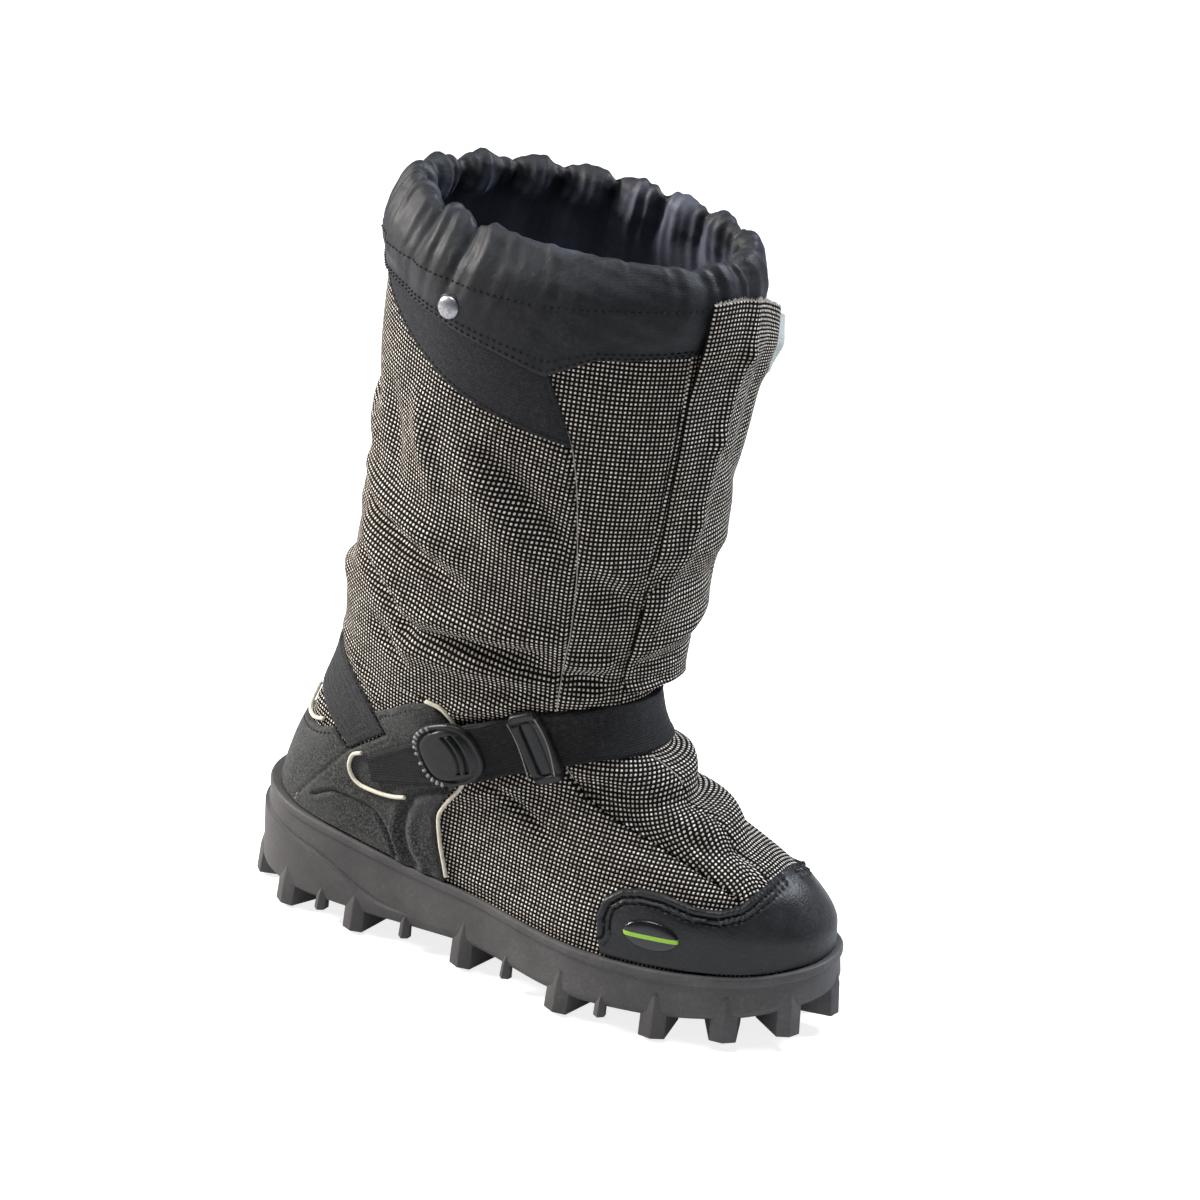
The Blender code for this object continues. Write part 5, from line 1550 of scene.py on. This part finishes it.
def bevelledHull(points, width):
    shell = bmesh.new()
    for point in points:
        shell.verts.new(point)
    result = bmesh.ops.convex_hull(shell, input=shell.verts)
    spare = {v for v in result["geom_interior"] if isinstance(v, bmesh.types.BMVert)}
    bmesh.ops.delete(shell, geom=list(spare), context="VERTS")
    bmesh.ops.dissolve_limit(shell, angle_limit=math.radians(4), verts=shell.verts, edges=shell.edges)
    bmesh.ops.bevel(shell, geom=shell.edges, offset=width, segments=3, profile=0.5,
                    affect="EDGES", clamp_overlap=True)
    bmesh.ops.recalc_face_normals(shell, faces=shell.faces)
    shell.verts.index_update()
    vertices = [tuple(v.co) for v in shell.verts]
    faces = [tuple(v.index for v in face.verts) for face in shell.faces]
    shell.free()
    return vertices, faces


def softened(rows, radius):   # rounds the corners between rows of loops
    result = [rows[0]]
    for a, b, c in zip(rows, rows[1:], rows[2:]):
        back, onward = a - b, c - b
        nb = np.linalg.norm(back, axis=1, keepdims=True)
        no = np.linalg.norm(onward, axis=1, keepdims=True)
        p = b + back * np.minimum(radius / (nb + 1e-9), 0.45)
        q = b + onward * np.minimum(radius / (no + 1e-9), 0.45)
        result += [p, (p + 2 * b + q) / 4 * 0.9 + (p + q) / 2 * 0.1, q]
    return result + [rows[-1]]


def middleLine(loop, swing):   # the line down the middle that a sole's loop closes to
    middle, halfway = loop.copy(), shoe["origin"][0]
    middle[:, 1] = swing * ease(loop[:, 0] / shoe["length"], 0.35, 1.0)
    middle[:, 0] = halfway + (loop[:, 0] - halfway) * 0.8
    return middle


def makeOutsole():
    count = soleLook["count"]
    lip, base = namedLoop("lip", count), namedLoop("base", count)
    lipOut, around = planNormals(lip), planNormals(base)
    proud = (soleLook["step"] * (1 - ease(base[:, 0], *soleLook["stepEnd"])))[:, None]
    z = {name: soleHeight(name, base[:, 0]) for name in shoe["heightColumns"][1:]}
    innerTop = sectionLoop(sectionAt(0.0), count)
    innerTop[:, 2] = soleHeight("lip", innerTop[:, 0])
    bed = namedLoop("bed", count)
    bed[:, 2] = soleHeight("bed", bed[:, 0]) + 0.3
    bead, drop = soleLook["beadProud"], soleLook["beadHeight"]
    middle = middleLine(base, shoe["base"][-1])
    under = withHeight(base - around * 3.0, z["base"])
    rows = [middle * k + under * (1 - k) for k in (1.0, 0.66, 0.33, 0.1)]
    rows = [withHeight(row, soleHeight("base", row[:, 0])) for row in rows]
    wall = [
        under,
        withHeight(base + around * (proud - 0.6), z["base"] + 2.0),
        withHeight(base + around * proud, z["step"]),
        withHeight(base + around * (proud * 0.3 - 1.0 * proud / 1.8), z["step"] + 0.5),
        withHeight(base - around * 0.2, z["step"] + soleLook["stepSlope"] + 0.8),
        withHeight(lip - lipOut * bead, z["lip"] - drop - bead),
        withHeight(lip, z["lip"] - drop),
        withHeight(lip, z["lip"] - 1.0),
        withHeight(lip - lipOut, z["lip"]),
        innerTop + planNormals(innerTop) * soleLook["gap"],
        bed + planNormals(bed) * soleLook["gap"],
    ]
    rows += softened(wall, 0.6)
    inner = rows[-1]
    rows += [withHeight(middle * k + inner * (1 - k), inner[:, 2]) for k in (0.5, 1.0)]
    batch = Batch()
    batch.add(np.concatenate(rows), [tuple(f) for f in gridFaces(len(rows), count, wrap=True)])
    for lug in soleLook["lugs"]:
        for shape in lugShapes(*lug[:5]):
            batch.add(*bevelledHull(shape, soleLook["bevel"]))
    for rib in soleLook["ribs"]:
        batch.add(*bevelledHull(lugShapes(*rib[:5], soleLook["ribLift"])[1], soleLook["bevel"]))
    for block in soleLook["blocks"]:
        batch.add(*bevelledHull(blockShape(*block[:4]), soleLook["bevel"]))
    batch.make("outsole_rubber", "sole", "sole_rubber", 38, ("outsole",))


makeOutsole()


def makeStuds():
    places = []
    for x, y, _, depth, _, stud in soleLook["lugs"]:
        if stud:
            edge, outward, _ = edgePlace(x, y)
            inner, spot = edge - outward * depth, edge - outward * depth * 0.5
            places.append((spot[0], spot[1], float(soleHeight("tread", max(inner[0], 0.0)))))
    places += [(x, y, float(soleHeight("tread", x))) for x, y, _, _, stud in soleLook["blocks"] if stud]
    wide, tip, drop = soleLook["studRadius"], soleLook["studTip"], soleLook["studDrop"]
    for number, (x, y, z) in enumerate(places, 1):
        profile = ((wide * 0.97, 0.3), (wide, 0.6), (wide * 0.93, 0.95), (tip + 0.7, drop - 0.55),
                   (tip + 0.25, drop - 0.15), (tip - 0.3, drop), (tip * 0.4, drop))
        points, faces = lathe(profile, (x, y, z), (0, 0, -1), 32)
        makePiece(f"steel_stud_{number}", points, faces, "steel", (f"stud_{number}",),
                  points[:, :2], 40)


makeStuds()


def makeInsole():
    edge = namedLoop("bed", 160)
    low = edge - planNormals(edge) * (shoe["wall"] + 0.8)
    low[:, 2] = soleHeight("bed", edge[:, 0]) + 0.4
    middle = middleLine(low, shoe["bed"][-1])
    top = low + (0, 0, 3.0)
    rows = [low, low + (0, 0, 2.4), top - planNormals(edge) * 0.8,
            middle * 0.5 + top * 0.5, middle]
    for row in rows[3:]:
        row[:, 2] = soleHeight("bed", row[:, 0]) + 3.4
    points = np.concatenate(rows)
    faces = [tuple(f) for f in gridFaces(len(rows), 160, wrap=True)]
    makePiece("insole_felt", points, faces, "foam", ("insole",), points[:, :2], 50)


makeInsole()
print("outsole, studs and insole made")


# Front flap with its fastening strip

flapLook = {
    "columns": ("z", "root", "edge", "rootOff", "edgeOff"),
    "rows": (
        (164, 0.462, 0.555, 1.6, 12.0), (180, 0.452, 0.565, 0.5, 10.0), (220, 0.445, 0.575, 0.5, 7.0),
        (275, 0.445, 0.585, 0.5, 6.0), (320, 0.447, 0.590, 0.5, 9.5), (338, 0.448, 0.590, 2.8, 12.5),
        (352, 0.449, 0.590, 5.4, 14.0), (373, 0.450, 0.590, 6.6, 12.5),
    ),
    "wall": 2.0, "corner": 24.0, "cornerStart": 0.15, "cornerHeight": 60.0,
    "grid": (230, 64), "stripGrid": (60, 24), "frayStep": 0.22,
    "strip": (318, 374), "stripSpan": (0.70, 1.09), "stripThickness": 1.4, "stripLift": 8.0,
    # soft troughs (-) and ridges (+): share of the width and height of both ends, width, height
    "folds": ((0.34, 376, 0.38, 345, 5, 1.3), (0.38, 345, 0.30, 300, 5, 1.5),
              (0.30, 300, 0.26, 258, 6, 1.5), (0.26, 258, 0.12, 205, 6, 1.1),
              (0.62, 372, 0.62, 300, 7, -1.2), (0.05, 228, 0.85, 222, 8, -1.9),
              (0.10, 246, 0.80, 240, 6, 0.9), (0.10, 190, 0.95, 201, 6, 1.2),
              (0.15, 180, 0.9, 186, 5, -1.0), (0.60, 285, 0.98, 262, 7, -1.0),
              (0.02, 172, 0.5, 168, 4, -0.9), (0.70, 330, 0.98, 322, 6, 0.7)),
}


def flapGrid(heights, widths, lift):   # points and outward directions over the flap
    rows = columnsOf(flapLook["columns"], flapLook["rows"])
    z, u = np.meshgrid(heights, widths, indexing="ij")
    root, edge, rootOff, edgeOff = (curveThrough(rows["z"], rows[name], z)
                                    for name in flapLook["columns"][1:])
    turn = np.maximum(0.0, u - flapLook["cornerStart"]) / (1 - flapLook["cornerStart"])
    top = flapLook["rows"][-1][0]
    level = z - flapLook["corner"] * turn ** 1.7 * ease(z, top - flapLook["cornerHeight"], top)
    off = rootOff + (edgeOff - rootOff) * u ** 1.3 + lift
    share = root + (edge - root) * u
    plain, out = onForm(levelAtHeight(share, level), share)
    return plain + out * off[..., None], out, z, u


def sheetPiece(name, inner, outer, finish, stands, cloth):
    rows, columns = inner.shape[:2]
    quads = gridFaces(rows, columns)
    size = rows * columns
    faces = [tuple(q) for q in quads] + [tuple(size + c for c in q[::-1]) for q in quads]
    rim = list(range(columns)) + [r * columns + columns - 1 for r in range(1, rows)]
    rim += [(rows - 1) * columns + c for c in range(columns - 2, -1, -1)]
    rim += [r * columns for r in range(rows - 2, 0, -1)]
    faces += [(b, a, size + a, size + b) for a, b in zip(rim, rim[1:] + rim[:1])]
    points = np.concatenate([outer.reshape(-1, 3), inner.reshape(-1, 3)])
    makePiece(name, points, faces, finish, stands, np.tile(cloth.reshape(-1, 2), (2, 1)), 60)


def makeFlap():
    top = flapLook["rows"][-1][0]
    rows, columns = flapLook["grid"]
    heights, widths = np.linspace(flapLook["rows"][0][0], top, rows), np.linspace(0, 1, columns)
    plain, out, z, u = flapGrid(heights, widths, 0.0)
    width = np.linalg.norm(plain[:, -1] - plain[:, 0], axis=1)[:, None]
    shift = 0.3 * np.sin(z / 9.0 + 3 * u) * np.sin(5 * u + z / 21)
    for uA, zA, uB, zB, size, rise in flapLook["folds"]:
        dx, dz = (uB - uA) * width, zB - zA
        ax, az = (u - uA) * width, z - zA
        t = np.clip((ax * dx + az * dz) / (dx * dx + dz * dz), 0, 1)
        shift += 1.6 * rise * np.exp(-(np.hypot(ax - t * dx, az - t * dz) / size) ** 2)
    inner = plain + out * shift[..., None]
    edge = np.minimum(np.minimum(u, 1 - u) * width, (top - z) + 0.3)
    thick = (flapLook["wall"] - 0.5) * (0.35 + 0.65 * edgeRound(edge, 1.0))
    outer = inner + out * thick[..., None]
    along = np.cumsum(np.linalg.norm(np.diff(plain, axis=1, prepend=plain[:, :1]), axis=2), axis=1)
    cloth = np.stack([along, z], axis=-1)
    sheetPiece("flap_cloth", inner, outer, "dotted", ("gusset_flap",), cloth)
    random.seed(7)
    fray, binding = Batch(), Batch()
    rim = outer[-1]
    for k in np.arange(1.0, len(rim) - 1.2, flapLook["frayStep"]):   # loose threads along the cut top edge
        j = int(k)
        start = rim[j] * (1 - (k - j)) + rim[j + 1] * (k - j) - out[-1, j] * random.uniform(0, 1.2)
        lean = np.array([random.uniform(-1, 1), random.uniform(-1, 1), random.uniform(0.8, 2.2)])
        line = start + np.linspace(-0.3, 1, 4)[:, None] * lean * random.uniform(0.5, 1.0)
        fray.add(*sweepTube(line, [0.16, 0.14, 0.12, 0.05], 4, 1.0, np.tile((0.9, 0.3, 0.1), (4, 1))))
    fray.make("flap_fray", "paleThreadAndHighlight", "dotted_fabric")
    side = (outer[:, -1] + inner[:, -1]) / 2
    binding.add(*sweepTube(side[::3], 1.0, 10, 1.0, out[::3, -1]))
    binding.make("flap_binding", "plain", "dotted_fabric")
    rows, columns = flapLook["stripGrid"]
    back = -(flapLook["stripThickness"] + 0.6)
    low, away, sz, su = flapGrid(np.linspace(*flapLook["strip"], rows),
                                 np.linspace(*flapLook["stripSpan"], columns), back)
    low += away * (flapLook["stripLift"] * ease(su, 0.94, 1.09))[..., None]
    high = low + away * flapLook["stripThickness"]
    sheetPiece("flap_strip", low, high, "tape", ("flap_fastening",),
               np.stack([su * 60, sz], axis=-1))


makeFlap()
print("flap made")


# Snap cap and back tab

snapLook = {
    "place": (130, 356), "radius": 5.7, "rise": 2.8,
    "rows": (4, 26), "sitsAt": -74.6,   # the collar's rows it may lie on, and its innermost Y
    "ring": ((6.3, -0.6), (6.5, 0.1), (6.0, 0.6), (5.2, 0.6), (5.0, 0.1)),
}
backTabLook = {"heights": (358, 384), "width": 11.0, "thickness": 1.8, "sunk": 1.4, "bevel": 0.5}


def makeSnap():
    (x, z), radius, rise = snapLook["place"], snapLook["radius"], snapLook["rise"]
    near = collarPoints[slice(*snapLook["rows"]), :collarLook["columns"] // 2]
    away = (near[..., 0] - x) ** 2 + (near[..., 2] - z) ** 2
    i, j = np.unravel_index(away.argmin(), away.shape)
    seat = (x, min(near[i, j, 1] - 0.1, snapLook["sitsAt"]), z)
    dome = [(radius, 0.0), (radius, 0.5)]
    dome += [(radius * math.cos(a), 0.5 + (rise - 0.6) * math.sin(a))
             for a in np.linspace(0.05, 1.45, 9)]
    points, faces = lathe(dome, seat, (0, -1, 0), 48)
    makePiece("snap_dome", points, faces, "snap", ("snap_cap",), points[:, [0, 2]], 45)
    points, faces = lathe(snapLook["ring"], seat, (0, -1, 0), 48)
    makePiece("snap_ring", points, faces, "plastic", (), points[:, [0, 2]], 45)


makeSnap()


def makeBackTab():
    low, high = backTabLook["heights"]
    half, corner = backTabLook["width"] / 2, backTabLook["width"] / 4
    corners = []
    backs = [collarRing(row)[0] for row in collarLook["sections"][:2]]
    for dy, z in ((-half, low + corner), (corner - half, low), (half - corner, low),
                  (half, low + corner), (half, high - corner), (half - corner, high),
                  (corner - half, high), (-half, high - corner)):
        lean = backs[0][0] + (backs[1][0] - backs[0][0]) * (z - backs[0][2]) / (backs[1][2] - backs[0][2])
        corners += [(lean - backTabLook["sunk"] - dx, dy + backs[0][1], z)
                    for dx in (0.0, backTabLook["thickness"])]
    points, faces = bevelledHull(corners, backTabLook["bevel"])
    points = np.array(points)
    makePiece("back_tab_cloth", points, faces, "webbing", ("back_tab",),
              points[:, [1, 2]], 40)


makeBackTab()
print("snap and back tab made")


# Floor, camera and lights

stageLook = {
    "target": (5.5, 1.0, 185.0), "azimuth": 29.8, "elevation": 22.4, "roll": 5.2,
    "distance": 1700.0, "shift": (13.4, 10.3), "lens": 102.9,
    "floorGrey": 0.62, "floorLight": 0.08, "floorShown": 0.82, "worldStrength": 0.13,
    "lampTarget": (0, 0, 0.16),
    # name, place in metres, size in metres, power in watts and colour
    "lamps": (("key", (-1.50, -0.55, 1.05), 0.5, 50.0, (1.0, 0.96, 0.92)),
              ("side", (0.82, 0.98, 1.60), 0.5, 48.0, (0.84, 0.90, 1.0)),
              ("top", (-0.10, -0.35, 1.9), 0.7, 19.0, (0.88, 0.93, 1.0))),
}


def makeStage():
    mesh = bpy.data.meshes.new("floor")
    mesh.from_pydata([(-8, -8, 0), (8, -8, 0), (8, 8, 0), (-8, 8, 0)], [], [(0, 1, 2, 3)])
    floor = bpy.data.objects.new("floor", mesh)
    bpy.context.scene.collection.objects.link(floor)
    white = bpy.data.materials.new("white floor")
    white.use_nodes = True
    tree = white.node_tree
    shader = tree.nodes["Principled BSDF"]
    shader.inputs["Base Color"].default_value = (*[stageLook["floorGrey"]] * 3, 1)
    shader.inputs["Roughness"].default_value = 0.8
    shader.inputs["Emission Color"].default_value = (1, 1, 1, 1)
    rays = addNode(tree, "ShaderNodeLightPath").outputs["Is Camera Ray"]
    glow = rangeNode(tree, rays, 0.0, 1.0, stageLook["floorLight"], stageLook["floorShown"])
    wire(tree, glow, shader.inputs["Emission Strength"])
    mesh.materials.append(white)
    a, e, r = (math.radians(stageLook[name]) for name in ("azimuth", "elevation", "roll"))
    right = Vector((math.cos(a), math.sin(a), 0))
    back = Vector((math.sin(a) * math.cos(e), -math.cos(a) * math.cos(e), math.sin(e)))
    up = back.cross(right)
    turnedRight = right * math.cos(r) + up * math.sin(r)
    turnedUp = up * math.cos(r) - right * math.sin(r)
    across, upward = stageLook["shift"]
    target = Vector(stageLook["target"]) + turnedRight * across + turnedUp * upward
    camera = bpy.data.objects.new("camera", bpy.data.cameras.new("camera"))
    camera.data.lens = stageLook["lens"]
    camera.data.clip_end = 30
    place = (target + back * stageLook["distance"]) * 0.001
    matrix = Matrix((turnedRight, turnedUp, back)).transposed().to_4x4()
    matrix.translation = place
    camera.matrix_world = matrix
    bpy.context.scene.collection.objects.link(camera)
    bpy.context.scene.camera = camera
    world = bpy.data.worlds.new("studio")
    world.use_nodes = True
    background = world.node_tree.nodes["Background"]
    background.inputs["Color"].default_value = (1, 1, 1, 1)
    background.inputs["Strength"].default_value = stageLook["worldStrength"]
    bpy.context.scene.world = world
    for name, place, size, power, tint in stageLook["lamps"]:
        lamp = bpy.data.lights.new(name, "AREA")
        lamp.size, lamp.energy, lamp.color = size, power, tint
        holder = bpy.data.objects.new(name, lamp)
        holder.location = place
        facing = Vector(stageLook["lampTarget"]) - Vector(place)
        holder.rotation_euler = facing.to_track_quat("-Z", "Y").to_euler()
        bpy.context.scene.collection.objects.link(holder)
    bpy.context.scene.view_settings.view_transform = "Standard"


makeStage()
print("stage ready")
